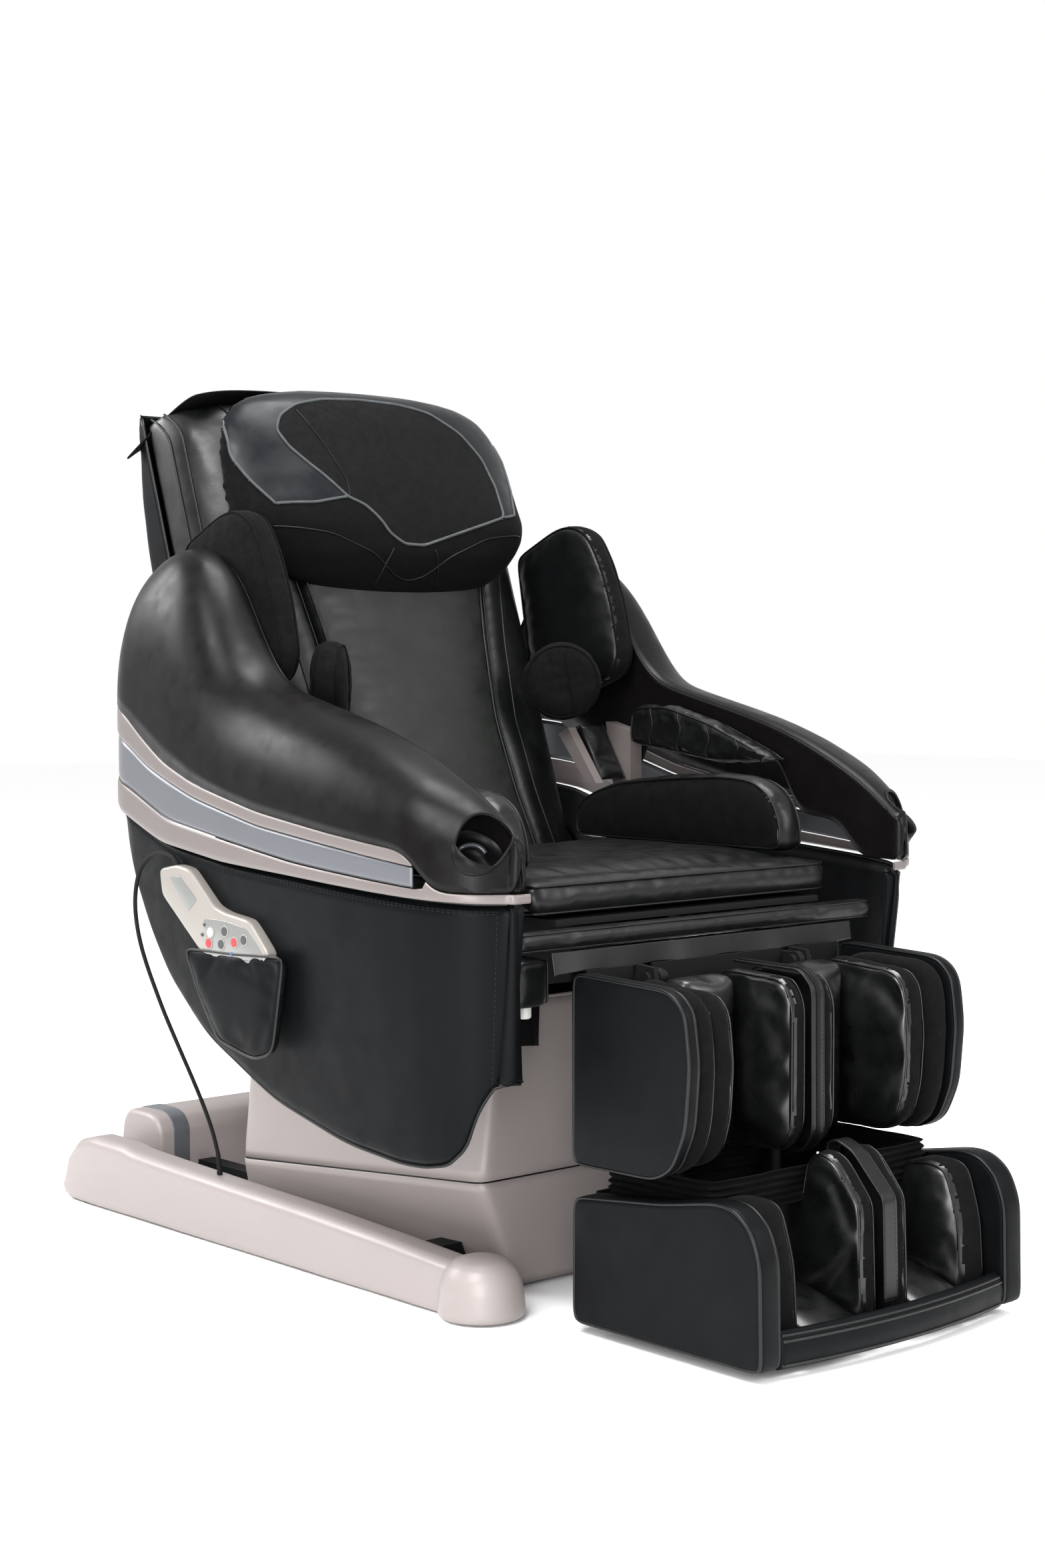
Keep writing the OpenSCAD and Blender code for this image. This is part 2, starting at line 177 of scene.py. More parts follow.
def spline(points, count, closed=False):
    """count points on a smooth curve through points."""
    p = np.array(points, float)
    n = len(p)
    out = []
    spans = n if closed else n - 1
    for k in range(count):
        t = k * spans / (count if closed else count - 1)
        i = min(int(t), spans - 1)
        f = t - i
        if closed:
            a, b, c, d = p[(i - 1) % n], p[i % n], p[(i + 1) % n], p[(i + 2) % n]
        else:
            b, c = p[i], p[i + 1]
            a = p[i - 1] if i else 2 * b - c
            d = p[i + 2] if i + 2 < n else 2 * c - b
        out.append(0.5 * (2 * b + (c - a) * f + (2 * a - 5 * b + 4 * c - d) * f * f
                          + (3 * b - a - 3 * c + d) * f ** 3))
    return np.array(out)


def tube_rings(path, radius, sides=8, closed=False):
    p = np.array(path, float)
    n = len(p)
    tangents = np.roll(p, -1, 0) - np.roll(p, 1, 0)
    if not closed:
        tangents[0], tangents[-1] = p[1] - p[0], p[-1] - p[-2]
    rings, up = [], None
    for i in range(n):
        t = tangents[i] / (np.linalg.norm(tangents[i]) + 1e-12)
        if up is None:
            up = np.cross(t, (1.0, 0.0, 0.0) if abs(t[0]) < 0.9 else (0.0, 1.0, 0.0))
        up = up - t * (up @ t)
        up /= np.linalg.norm(up) + 1e-12
        side = np.cross(t, up)
        r = radius[i] if hasattr(radius, "__len__") else radius
        a = wheel(sides)
        rings.append(p[i] + r * (np.cos(a)[:, None] * up + np.sin(a)[:, None] * side))
    return rings


def tube_mesh(name, path, radius, sides=8, closed=False):
    rings = tube_rings(path, radius, sides, closed)
    if closed:
        return surface(name, list(rings) + [rings[0]], wrap=True)
    return surface(name, rings, wrap=True, caps=True)


def join_meshes(name, meshes):
    """One mesh of several, none of them kept."""
    bm = bmesh.new()
    for m in meshes:
        bm.from_mesh(m)
    out = bpy.data.meshes.new(name)
    bm.to_mesh(out)
    bm.free()
    for m in meshes:
        bpy.data.meshes.remove(m)
    return out


def piping(name, paths, radius, body, material):
    """Cord piping or a welt along one or more paths; a path is (points, closed)."""
    parts = [tube_mesh(name, p, radius, 8, closed) for p, closed in paths]
    return link(name, join_meshes(name, parts), body, material)


def stitches(name, paths, body, material, pitch=5.5 * MM, length=3.6 * MM, radius=0.45 * MM):
    """Thread stitches laid along paths, one short rod each."""
    parts = []
    for path in paths:
        p = np.array(path, float)
        s = mileage(p)
        count = int(s[-1] / pitch)
        at = lambda q: np.array([np.interp(q, s, p[:, k]) for k in range(3)])
        for i in range(count):
            a, b = at(i * pitch), at(i * pitch + length)
            parts.append(tube_mesh(name, [a, (a + b) / 2, b], [radius * 0.6, radius, radius * 0.6], 5))
    return link(name, join_meshes(name, parts), body, material)


# ---- curves along the chair's side, read from the CAD frame

def by_depth(node, least=4):
    """Depth and points of each station of a lofted CAD node's left half."""
    rows = {}
    for v in NODES[node].data.vertices:
        if v.co.x > 0:
            rows.setdefault(round(v.co.y, 4), set()).add(tuple(round(c, 5) for c in v.co))
    return [(y, np.array(sorted(p))) for y, p in sorted(rows.items()) if len(p) >= least]


def curve(pairs, soft):
    """A smooth function through (depth, value) pairs."""
    y, v = np.array([p[0] for p in pairs]), np.array([p[1] for p in pairs])
    ys = np.linspace(y[0], y[-1], 400)
    vs = np.interp(ys, y, v)
    step = ys[1] - ys[0]
    half = max(1, int(3 * soft / step))
    kernel = bell(half, step, soft)
    padded = np.concatenate([2 * vs[0] - vs[half:0:-1], vs, 2 * vs[-1] - vs[-2:-half - 2:-1]])
    smooth = np.convolve(padded, kernel, "valid")
    return lambda q: np.interp(q, ys, smooth)


TRIM = by_depth("trim_strips")
PLAN = curve([(y, p[:, 0].max() + 2 * MM) for y, p in TRIM], 0.010)
BAND_TOP = curve([(y, p[:, 2].max()) for y, p in TRIM], 0.014)
PANEL_TOP = curve([(y, p[:, 2].min()) for y, p in TRIM], 0.014)
PANEL_LOW = curve([(y, p[:, 2].min()) for y, p in by_depth("side_panel_left")], 0.014)
INLAY = by_depth("trim_inlays")
INLAY_TOP = curve([(y, p[:, 2].max()) for y, p in INLAY], 0.014)
INLAY_LOW = curve([(y, p[:, 2].min()) for y, p in INLAY], 0.014)
ARM = by_depth("arm_shell_left", 9)
RIDGE = curve([(y, p[:, 2].max()) for y, p in ARM], 0.024)
ARM_IN = 352 * MM
REAR, FRONT = TRIM[-1][0], TRIM[0][0]


# ---- materials

def base_material(name, color, rough, metallic=0.0, spec=0.5, coat=0.0, coat_rough=0.1, sheen=0.0,
                  sheen_rough=0.4):
    """A Principled material and its node tree; uniform values sit on the shader's own sockets."""
    m = bpy.data.materials.new(name)
    m.use_nodes = True
    tree = m.node_tree
    shader = tree.nodes["Principled BSDF"]
    for key, value in (("Base Color", (*color, 1.0)), ("Roughness", rough), ("Metallic", metallic),
                       ("Specular IOR Level", spec), ("Coat Weight", coat),
                       ("Coat Roughness", coat_rough), ("Sheen Weight", sheen),
                       ("Sheen Roughness", sheen_rough)):
        shader.inputs[key].default_value = value
    m.diffuse_color = (*color, 1.0)
    return m, tree, shader


def coords(tree):
    """Object coordinates, in metres."""
    return tree.nodes.new("ShaderNodeTexCoord").outputs["Object"]


def noise(tree, vector, scale, detail=3.0, rough=0.55):
    node = tree.nodes.new("ShaderNodeTexNoise")
    node.inputs["Scale"].default_value = scale
    node.inputs["Detail"].default_value = detail
    node.inputs["Roughness"].default_value = rough
    tree.links.new(vector, node.inputs["Vector"])
    return node.outputs["Fac"]


def remap(tree, value, low, high, start=0.3, end=0.7):
    node = tree.nodes.new("ShaderNodeMapRange")
    for key, v in (("From Min", start), ("From Max", end), ("To Min", low), ("To Max", high)):
        node.inputs[key].default_value = v
    tree.links.new(value, node.inputs["Value"])
    return node.outputs["Result"]


def tint(tree, shader, value, dark, light):
    """Colour between dark and light by value."""
    ramp = tree.nodes.new("ShaderNodeValToRGB")
    ramp.color_ramp.elements[0].position, ramp.color_ramp.elements[1].position = 0.3, 0.7
    ramp.color_ramp.elements[0].color = (*dark, 1)
    ramp.color_ramp.elements[1].color = (*light, 1)
    tree.links.new(value, ramp.inputs["Fac"])
    tree.links.new(ramp.outputs["Color"], shader.inputs["Base Color"])


def bump(tree, shader, height, distance, strength=1.0, under=None):
    node = tree.nodes.new("ShaderNodeBump")
    node.inputs["Strength"].default_value = strength
    node.inputs["Distance"].default_value = distance
    tree.links.new(height, node.inputs["Height"])
    if under is not None:
        tree.links.new(under, node.inputs["Normal"])
    tree.links.new(node.outputs["Normal"], shader.inputs["Normal"])
    return node.outputs["Normal"]


def shades(color, spread):
    return [c * (1 - spread) for c in color], [min(1, c * (1 + spread)) for c in color]


def leather(name, color, rough=0.38, grain=0.00012, cell=1100.0, fold=0.0006, spread=0.16,
            spec=0.16):
    """Synthetic leather: pebbled grain, faint folds, and gloss that wanders."""
    m, tree, shader = base_material(name, color, rough, spec=spec, coat_rough=0.22)
    where = coords(tree)
    tint(tree, shader, noise(tree, where, 9.0, 4.0), *shades(color, spread))
    gloss = remap(tree, noise(tree, where, 34.0, 4.0), rough - 0.07, rough + 0.08)
    tree.links.new(gloss, shader.inputs["Roughness"])
    folds = bump(tree, shader, noise(tree, where, 22.0, 3.0, 0.5), fold, 0.7)
    cells = tree.nodes.new("ShaderNodeTexVoronoi")
    cells.feature = "SMOOTH_F1"
    cells.inputs["Scale"].default_value = cell
    tree.links.new(where, cells.inputs["Vector"])
    bump(tree, shader, cells.outputs["Distance"], grain, 0.8, folds)
    return m


def fabric(name, color, rough=0.85, weave=1500.0, depth=0.00018, sheen=0.06, spread=0.22):
    """Knitted or brushed cloth: crossed fine waves, fuzz and sheen."""
    m, tree, shader = base_material(name, color, rough, spec=0.08, sheen=sheen, sheen_rough=0.35)
    where = coords(tree)
    tint(tree, shader, noise(tree, where, 55.0, 5.0, 0.65), *shades(color, spread))
    rough_map = remap(tree, noise(tree, where, 120.0, 3.0), rough - 0.06, min(1.0, rough + 0.08))
    tree.links.new(rough_map, shader.inputs["Roughness"])
    folds = bump(tree, shader, noise(tree, where, 18.0, 2.0), 0.0008, 0.6)
    waves = []
    for axis in ("X", "Z"):
        w = tree.nodes.new("ShaderNodeTexWave")
        w.bands_direction = axis
        w.inputs["Scale"].default_value = weave / 6.28
        w.inputs["Distortion"].default_value = 1.5
        tree.links.new(where, w.inputs["Vector"])
        waves.append(w.outputs["Fac"])
    both = tree.nodes.new("ShaderNodeMath")
    both.operation = "MULTIPLY"
    tree.links.new(waves[0], both.inputs[0])
    tree.links.new(waves[1], both.inputs[1])
    bump(tree, shader, both.outputs[0], depth, 0.7, folds)
    return m


def paint(name, color, rough=0.35, metallic=0.0, flake=0.05, coat=0.2, orange=0.00002, spec=0.5):
    """Moulded or painted plastic: fine sparkle, a faint orange peel and handling marks in the gloss."""
    m, tree, shader = base_material(name, color, rough, metallic=metallic, coat=coat, coat_rough=0.18,
                                    spec=spec)
    where = coords(tree)
    tint(tree, shader, noise(tree, where, 1400.0, 2.0), *shades(color, flake))
    marks = remap(tree, noise(tree, where, 14.0, 5.0, 0.6), rough - 0.04, rough + 0.06)
    tree.links.new(marks, shader.inputs["Roughness"])
    bump(tree, shader, noise(tree, where, 700.0, 2.0), orange, 0.8)
    return m


MAT = {
    "shell": leather("shell_leather", (0.0026, 0.0021, 0.0021), 0.36, 0.00003, 1500.0, 0.0002, 0.12,
                     spec=0.12),
    "leather": leather("pad_leather", (0.0020, 0.0022, 0.0024), 0.36, 0.00008, 900.0, 0.0004, spec=0.26),
    "panel": leather("panel_leather", (0.0022, 0.0026, 0.0031), 0.44, 0.00008, 1000.0, 0.0004, spec=0.06),
    "blue_leather": leather("pillow_leather", (0.0030, 0.0040, 0.0052), 0.34, 0.00006, 1000.0, 0.0004,
                            spec=0.16),
    "cloth": leather("back_cloth", (0.0048, 0.0056, 0.0048), 0.44, 0.00012, 1500.0, 0.0010, 0.3, spec=0.26),
    "suede": fabric("brushed_cloth", (0.0020, 0.0020, 0.0020), 0.9, 1800.0, 0.0001, 0.01, 0.3),
    "black_cloth": fabric("knit_cloth", (0.0010, 0.0010, 0.0011), 0.8, 1500.0, 0.00012, 0.008, 0.15),
    "pillow_cloth": fabric("pillow_cloth", (0.0026, 0.0026, 0.0028), 0.78, 1400.0, 0.0001, 0.012, 0.3),
    "glossy": leather("glossy_leather", (0.0018, 0.0020, 0.0021), 0.30, 0.00003, 1100.0, 0.0002, spec=0.5),
    "champagne": paint("champagne_paint", (0.125, 0.109, 0.105), 0.38, 0.2, 0.05, 0.06, spec=0.35),
    "inlay": paint("blue_grey_paint", (0.092, 0.096, 0.106), 0.36, 0.3, 0.06, 0.08, spec=0.35),
    "taupe": paint("taupe_paint", (0.235, 0.206, 0.199), 0.45, 0.08, 0.03, 0.04),
    "black_plastic": paint("black_plastic", (0.002, 0.002, 0.0022), 0.42, 0.0, 0.1, 0.0, spec=0.12),
    "silver": paint("handset_paint", (0.215, 0.199, 0.183), 0.38, 0.15, 0.05, 0.08),
    "white": paint("white_plastic", (0.55, 0.55, 0.53), 0.35, 0.0, 0.03, 0.1),
    "red": paint("red_key", (0.32, 0.010, 0.016), 0.25, 0.0, 0.04, 0.2),
    "blue": paint("blue_key", (0.02, 0.06, 0.22), 0.25, 0.0, 0.04, 0.2),
    "dark_key": paint("dark_key", (0.02, 0.023, 0.027), 0.25, 0.0, 0.04, 0.2),
    "screen": paint("handset_window", (0.13, 0.134, 0.13), 0.15, 0.0, 0.02, 0.4),
    "steel": paint("frame_enamel", (0.0050, 0.0052, 0.0056), 0.55, 0.0, 0.08, 0.0, spec=0.12),
    "motor": paint("motor_enamel", (0.06, 0.062, 0.064), 0.45, 0.2, 0.08, 0.05),
    "board": paint("board_resist", (0.012, 0.07, 0.03), 0.35, 0.0, 0.08, 0.2),
    "rubber": paint("rubber", (0.005, 0.005, 0.005), 0.7, 0.0, 0.12, 0.0, 0.00004, 0.15),
    "roller": paint("roller_plastic", (0.36, 0.33, 0.28), 0.4, 0.0, 0.04, 0.1),
    "thread": fabric("thread", (0.014, 0.0145, 0.016), 0.6, 3000.0, 0.00002, 0.01, 0.2),
    "pale_piping": fabric("pale_piping", (0.050, 0.054, 0.056), 0.6, 2500.0, 0.00004, 0.04, 0.2),
}


# ---- cord

CORD_D = 6 * MM
CORD_ROUTE = [(-461, 178, 570), (-461, 184, 578), (-461, 194, 584), (-461, 212, 587),
              (-461, 232, 585), (-461, 254, 576), (-461, 272, 560), (-460, 284, 538), (-458, 291, 510),
              (-454, 293, 480), (-448, 292, 450), (-438, 291, 418), (-424, 292, 384), (-408, 295, 350),
              (-390, 299, 316), (-370, 304, 280), (-350, 309, 244), (-330, 314, 206), (-312, 319, 168),
              (-299, 323, 132), (-294, 325, 108), (-293, 325, 89)]


def make_cord():
    """The handset's cord, from the handset's top end to the rail, with a relief at each end."""
    route = np.array(CORD_ROUTE) * MM
    path = spline(route, 150)
    mesh = tube_mesh("handset_cord", path, CORD_D / 2, 12)
    cord = link("handset_cord", mesh, "base", MAT["rubber"])
    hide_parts("remote_cord")
    for name, start, step in (("handset_relief", 1, 1), ("rail_relief", -2, -1)):
        along = path[start:start + 14 * step:step] if step > 0 else path[-2:-15:-1]
        n = len(along)
        radii = [(4.6 - 1.2 * i / (n - 1)) * MM * (0.86 if i % 3 == 1 else 1.0) for i in range(n)]
        relief = link(name, tube_mesh(name, along, radii, 14), "base", MAT["rubber"])


# ---- arms, trim and side panels

def mirrored(points, side):
    p = np.array(points, float)
    p[..., 0] *= side
    return p


def spread(count, low, high):
    """Values from low to high, closer together near both ends."""
    t = np.linspace(0, math.pi, count)
    return (low + high) / 2 - np.cos(t) * (high - low) / 2


WINDOW = curve([(-0.42, 0), (-0.235, 0), (-0.195, 1), (0.06, 1), (0.10, 0), (0.43, 0)], 0.008)


def arm_ring(y, grow=1.0):
    """Section of an arm: up the inner wall, over the ridge and down outside."""
    low, top = BAND_TOP(y), RIDGE(y)
    out = PLAN(y)
    ridge_x = ARM_IN + 17 * MM
    open_in = float(WINDOW(y))
    inner_low = low * (1 - open_in) + (top - 0.052) * open_in
    lip = top - 11 * MM
    ring = [(ARM_IN, inner_low + (lip - inner_low) * t) for t in np.linspace(0, 1, 8)]
    width = ridge_x - ARM_IN
    ring += [(ridge_x - width * math.cos(a), lip + (top - lip) * math.sin(a))
             for a in np.linspace(0.12, math.pi / 2, 9)]
    height = top - low
    wide = out - ridge_x
    for a in np.linspace(math.pi / 2, 0, 26)[1:]:
        x = ridge_x + wide * math.cos(a) ** 0.78
        z = low + height * math.sin(a) ** 0.86
        ring.append((x, z))
    centre = np.array([(ARM_IN + out) / 2, (low + top) / 2])
    return [(centre[0] + (x - centre[0]) * grow, y, centre[1] + (z - centre[1]) * grow) for x, z in ring]


PORT_MIDDLE = Vector((0.395, -0.378, 0.622))
PORT_R = 32 * MM


def port_frame(side):
    """Turns +Z into the port's axis at the port's middle."""
    turn = Matrix.Rotation(math.radians(38), 4, "X")
    return Matrix.Translation((PORT_MIDDLE.x * side, PORT_MIDDLE.y, PORT_MIDDLE.z)) @ turn


def cut_port(arm, side, word):
    """Opens the round hand port in an arm's front and lays its rim."""
    place = port_frame(side)
    inverse = place.inverted()
    bm = bmesh.new()
    bm.from_mesh(arm.data)
    for _ in range(2):
        near = [f for f in bm.faces if (lambda c: math.hypot(c.x, c.y) < 48 * MM and -0.03 < c.z < 0.09)(
            inverse @ f.calc_center_median())]
        edges = list({e for f in near for e in f.edges})
        bmesh.ops.subdivide_edges(bm, edges=edges, cuts=1, use_grid_fill=True)
    gone = [f for f in bm.faces if (lambda c: math.hypot(c.x, c.y) < PORT_R and -0.03 < c.z < 0.09)(
        inverse @ f.calc_center_median())]
    bmesh.ops.delete(bm, geom=gone, context="FACES")
    rim = {}
    for v in bm.verts:
        c = inverse @ v.co
        r = math.hypot(c.x, c.y)
        if r < PORT_R + 6 * MM and -0.03 < c.z < 0.09 and any(e.is_boundary for e in v.link_edges):
            a = math.atan2(c.y, c.x)
            v.co = place @ Vector((PORT_R * math.cos(a), PORT_R * math.sin(a), c.z))
            rim[round(a, 3)] = tuple(v.co)
    bm.to_mesh(arm.data)
    bm.free()
    line = [rim[a] for a in sorted(rim)]
    smooth = spline(line[::max(1, len(line) // 36)], 90, closed=True)
    piping(f"port_rim_{word}", [(smooth, True)], 2.4 * MM, "base", MAT["shell"])


def make_arm(side, word):
    body_y = list(spread(110, FRONT, REAR))
    rows = [arm_ring(y) for y in body_y]
    for grow, dy in ((0.93, 5 * MM), (0.78, 9 * MM), (0.5, 11.5 * MM), (0.12, 12.5 * MM)):
        front = [(x, FRONT - dy, z) for x, _, z in arm_ring(FRONT, grow)]
        rows.insert(0, front)
    for grow, dy in ((0.9, 4 * MM), (0.7, 7 * MM), (0.3, 9 * MM)):
        rows.append([(x, REAR + dy, z) for x, _, z in arm_ring(REAR, grow)])
    arm = link(f"arm_cover_{word}", surface("arm", mirrored(rows, side)), "base",
               MAT["shell"])
    cut_port(arm, side, word)
    solidify(arm, 5 * MM)
    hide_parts(f"arm_shell_{word}")
    lip = [mirrored([(ARM_IN + 0.8 * MM, y, RIDGE(y) - 9 * MM) for y in np.linspace(-0.40, 0.41, 160)],
                    side)]
    piping(f"arm_piping_{word}", [(lip[0], False)], 2.4 * MM, "base", MAT["shell"])
    return arm


def plan_path(count):
    """Points and outward normals of the plan outline, from the rear end round to the front's inner edge."""
    y = spread(count, REAR, FRONT)
    p = np.array([(PLAN(v), v) for v in y])
    turn = np.linspace(0, math.pi / 2, 7)[1:]
    corner = [(p[-1][0] - 9 * MM * (1 - math.cos(a)), FRONT - 9 * MM * math.sin(a)) for a in turn]
    tail = [(x, corner[-1][1]) for x in np.linspace(corner[-1][0], 0.346, 5)[1:]]
    p = np.vstack([p, corner, tail])
    s = mileage(p)
    at = np.linspace(0, s[-1], count)
    p = np.stack([np.interp(at, s, p[:, 0]), np.interp(at, s, p[:, 1])], 1)
    d = np.gradient(p, axis=0)
    n = np.stack([-d[:, 1], d[:, 0]], 1)
    n /= np.linalg.norm(n, axis=1)[:, None]
    return p, n


def band(low, high, out, steps, crown=0.0, lean=0.0, keep=lambda y: True, edge=0.0):
    """Points of a strip that follows the plan outline between two height curves."""
    points, normals = plan_path(190)
    rows = []
    for (x, y), n in zip(points, normals):
        if not keep(y):
            continue
        a, b = float(low(y)), float(high(y))
        row = []
        for t in np.linspace(0, 1, steps):
            z = a + (b - a) * t
            u = 2 * t - 1
            puff = crown * (1 - abs(u) ** 6)
            if edge:
                near = min(z - a, b - z)
                puff -= edge * max(0.0, 1 - near / 0.010) ** 2
            o = out + puff - lean * (b - z)
            row.append((x + n[0] * o, y + n[1] * o, z))
        rows.append(row)
    return rows


def make_trim(side, word):
    gap = 1.2 * MM
    low = lambda y: PANEL_TOP(y) + 2 * MM
    mid_low = lambda y: INLAY_LOW(y) if y > -0.335 else BAND_TOP(y) - 2 * MM
    strips = {
        "trim_lower": (low, lambda y: mid_low(y) - gap * (y > -0.33), lambda y: True),
        "trim_upper": (lambda y: INLAY_TOP(y) + gap, lambda y: BAND_TOP(y) - 1 * MM, lambda y: y > -0.322),
    }
    for name, (a, b, keep) in strips.items():
        rows = band(a, b, -1.5 * MM, 9, crown=1.6 * MM, keep=keep)
        strip = link(f"{name}_{word}", surface(name, mirrored(rows, side)), "base",
                     MAT["champagne"])
        solidify(strip, 4 * MM)
        bevel(strip, 0.8 * MM, 2, 50)
    rows = band(lambda y: INLAY_LOW(y), lambda y: INLAY_TOP(y), -2.4 * MM, 9, crown=0.8 * MM,
                keep=lambda y: y > -0.325)
    inlay = link(f"trim_inlay_{word}", surface("inlay", mirrored(rows, side)), "base",
                 MAT["inlay"])
    solidify(inlay, 3 * MM)
    return inlay


def make_panel(side, word):
    rows = band(PANEL_LOW, PANEL_TOP, -12 * MM, 34, crown=1.5 * MM, lean=0.10, edge=7 * MM)
    panel = link(f"side_cover_{word}", surface("panel", mirrored(rows, side)), "base",
                 MAT["panel"])
    solidify(panel, 5 * MM)
    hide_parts(f"side_panel_{word}")
    top = [row[-1] for row in rows]
    low = [row[0] for row in rows]
    piping(f"side_piping_{word}", [(mirrored(top, side), False), (mirrored(low, side), False)],
           2.6 * MM, "base", MAT["leather"])
    hems = []
    for inset in (9 * MM, 12 * MM):
        hem = [min(row, key=lambda p: abs(p[2] - row[-1][2] + inset)) for row in rows]
        hems.append([(p[0] + 0.4 * MM, p[1], float(PANEL_TOP(p[1])) - inset) for p in hem if p[1] > -0.40])
    front = [row for row in rows if -0.382 < row[0][1] < -0.368][0]
    for k in (0, 1):
        hems.append([(p[0] + 0.3 * MM, p[1] + 3 * k * MM, p[2]) for p in front])
    stitches(f"side_stitches_{word}", [mirrored(h, side) for h in hems], "base",
             MAT["thread"], 7 * MM, 4.4 * MM, 0.5 * MM)
    return rows


def make_sides():
    for side, word in ((1, "left"), (-1, "right")):
        make_arm(side, word)
        make_trim(side, word)
        make_panel(side, word)
    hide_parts("trim_strips", "trim_inlays")


# ---- padded pieces

COS, SIN = math.cos(math.radians(18.8)), math.sin(math.radians(18.8))


def on_back(x, v, u):
    """A point of the back's own frame, in mm: sideways, from front to rear, up the back."""
    return (x * MM, (120 + COS * v + SIN * u) * MM, (545 - SIN * v + COS * u) * MM)


PLANES = {
    "yz": lambda a, b, d: (d * MM, a * MM, b * MM),
    "xy": lambda a, b, d: (a * MM, b * MM, d * MM),
    "back": lambda a, b, d: on_back(a, d, b),
    "back_side": lambda a, b, d: on_back(d, a, b),
}


def soften(outline, soft=10.0, count=160, closed=True):
    """An even smooth run of points along an outline."""
    p = np.array(outline, float)
    q = np.vstack([p, p[:1]]) if closed else p
    s = mileage(q)
    at = np.linspace(0, s[-1], count, endpoint=not closed)
    r = np.stack([np.interp(at, s, q[:, k]) for k in range(q.shape[1])], 1)
    half = int(3 * soft / (s[-1] / count)) + 1
    kernel = bell(half, s[-1] / count, soft)
    if closed:
        return sum(w * np.roll(r, k, axis=0) for w, k in zip(kernel, range(-half, half + 1)))
    before = 2 * r[0] - r[half:0:-1]
    after = 2 * r[-1] - r[-2:-half - 2:-1]
    padded = np.vstack([before, r, after])
    return np.stack([np.convolve(padded[:, k], kernel, "valid") for k in range(r.shape[1])], 1)


def outward(p):
    """Outward normals of a closed outline."""
    d = np.roll(p, -1, 0) - np.roll(p, 1, 0)
    n = np.stack([d[:, 1], -d[:, 0]], 1)
    n /= np.linalg.norm(n, axis=1)[:, None] + 1e-12
    area = np.sum(p[:, 0] * np.roll(p[:, 1], -1) - np.roll(p[:, 0], -1) * p[:, 1])
    return n if area > 0 else -n


def block(plane, outline, low, high, edge, soft=10.0):
    """Rings and seam lines of a block: an outline run from low to high with round edges, all in mm."""
    p = soften(outline, soft)
    n = outward(p)
    put = PLANES[plane]
    turns = np.linspace(0, math.pi / 2, 6)
    profile = [(edge * (1 - math.sin(t)), low + edge * (1 - math.cos(t))) for t in turns]
    profile += [(0.0, (low + high) / 2)]
    profile += [(inset, low + high - depth) for inset, depth in profile[5::-1]]
    ring = lambda inset, depth: [put(a, b, depth) for a, b in p - n * inset]
    rings = [ring(i, d) for i, d in profile]
    seams = [ring(0.3 * edge, low + 0.3 * edge), ring(0.3 * edge, high - 0.3 * edge)]
    return rings, seams


def dense(path, closed):
    p = np.array(path, float)
    q = np.vstack([p, p[:1]]) if closed else p
    s = mileage(q)
    at = np.arange(0, s[-1], MM)
    return np.stack([np.interp(at, s, q[:, k]) for k in range(3)], 1)


PADS = []


def positions(mesh):
    co = np.empty(len(mesh.vertices) * 3)
    mesh.vertices.foreach_get("co", co)
    return co.reshape(-1, 3)


def set_positions(mesh, co):
    mesh.vertices.foreach_set("co", co.ravel())
    mesh.update()


def pad(name, mesh, body, slot, materials, seams=(), replaces=(), voxel=6.0, pressure=4.0, cap=12.0,
        fill=0.6, slack=0.03, held=None, sink=1.2, zone=None, levels=1, ease=5):
    """A padded piece: an even mesh whose fabric is blown up between its sewn lines.
    seams are (points, closed) in metres; held says which further points stay; zone picks a face's
    material."""
    obj = link(name, mesh, body, materials)
    even = obj.modifiers.new("even", "REMESH")
    even.mode = "VOXEL"
    even.voxel_size = voxel * MM
    apply_all(obj)
    obj.data.shade_smooth()
    co = positions(obj.data)
    pinned = np.zeros(len(co), bool)
    runs = [dense(p, c) for p, c in seams]
    if runs:
        every = np.vstack(runs)
        tree = kdtree.KDTree(len(every))
        for i, p in enumerate(every):
            tree.insert(p, i)
        tree.balance()
        centre = co.mean(0)
        for i, p in enumerate(co):
            where, _, gap = tree.find(p)
            if gap < 0.62 * voxel * MM:
                pinned[i] = True
                inward = centre - p
                inward /= np.linalg.norm(inward) + 1e-9
                co[i] = np.array(where) + inward * sink * MM
    if held is not None:
        pinned |= held(co)
    set_positions(obj.data, co)
    if zone is not None:
        mids = np.array([p.center for p in obj.data.polygons])
        normals = np.array([p.normal for p in obj.data.polygons])
        obj.data.polygons.foreach_set("material_index", zone(mids, normals).astype(np.int32))
    obj.vertex_groups.new(name="sewn").add([int(i) for i in np.nonzero(pinned)[0]], 1.0, "REPLACE")
    PADS.append({"obj": obj, "base": co, "cap": cap * MM, "pressure": pressure, "slack": slack,
                 "levels": levels, "ease": ease})
    if replaces:
        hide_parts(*replaces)
    return obj


CLOTH_FRAMES = 18


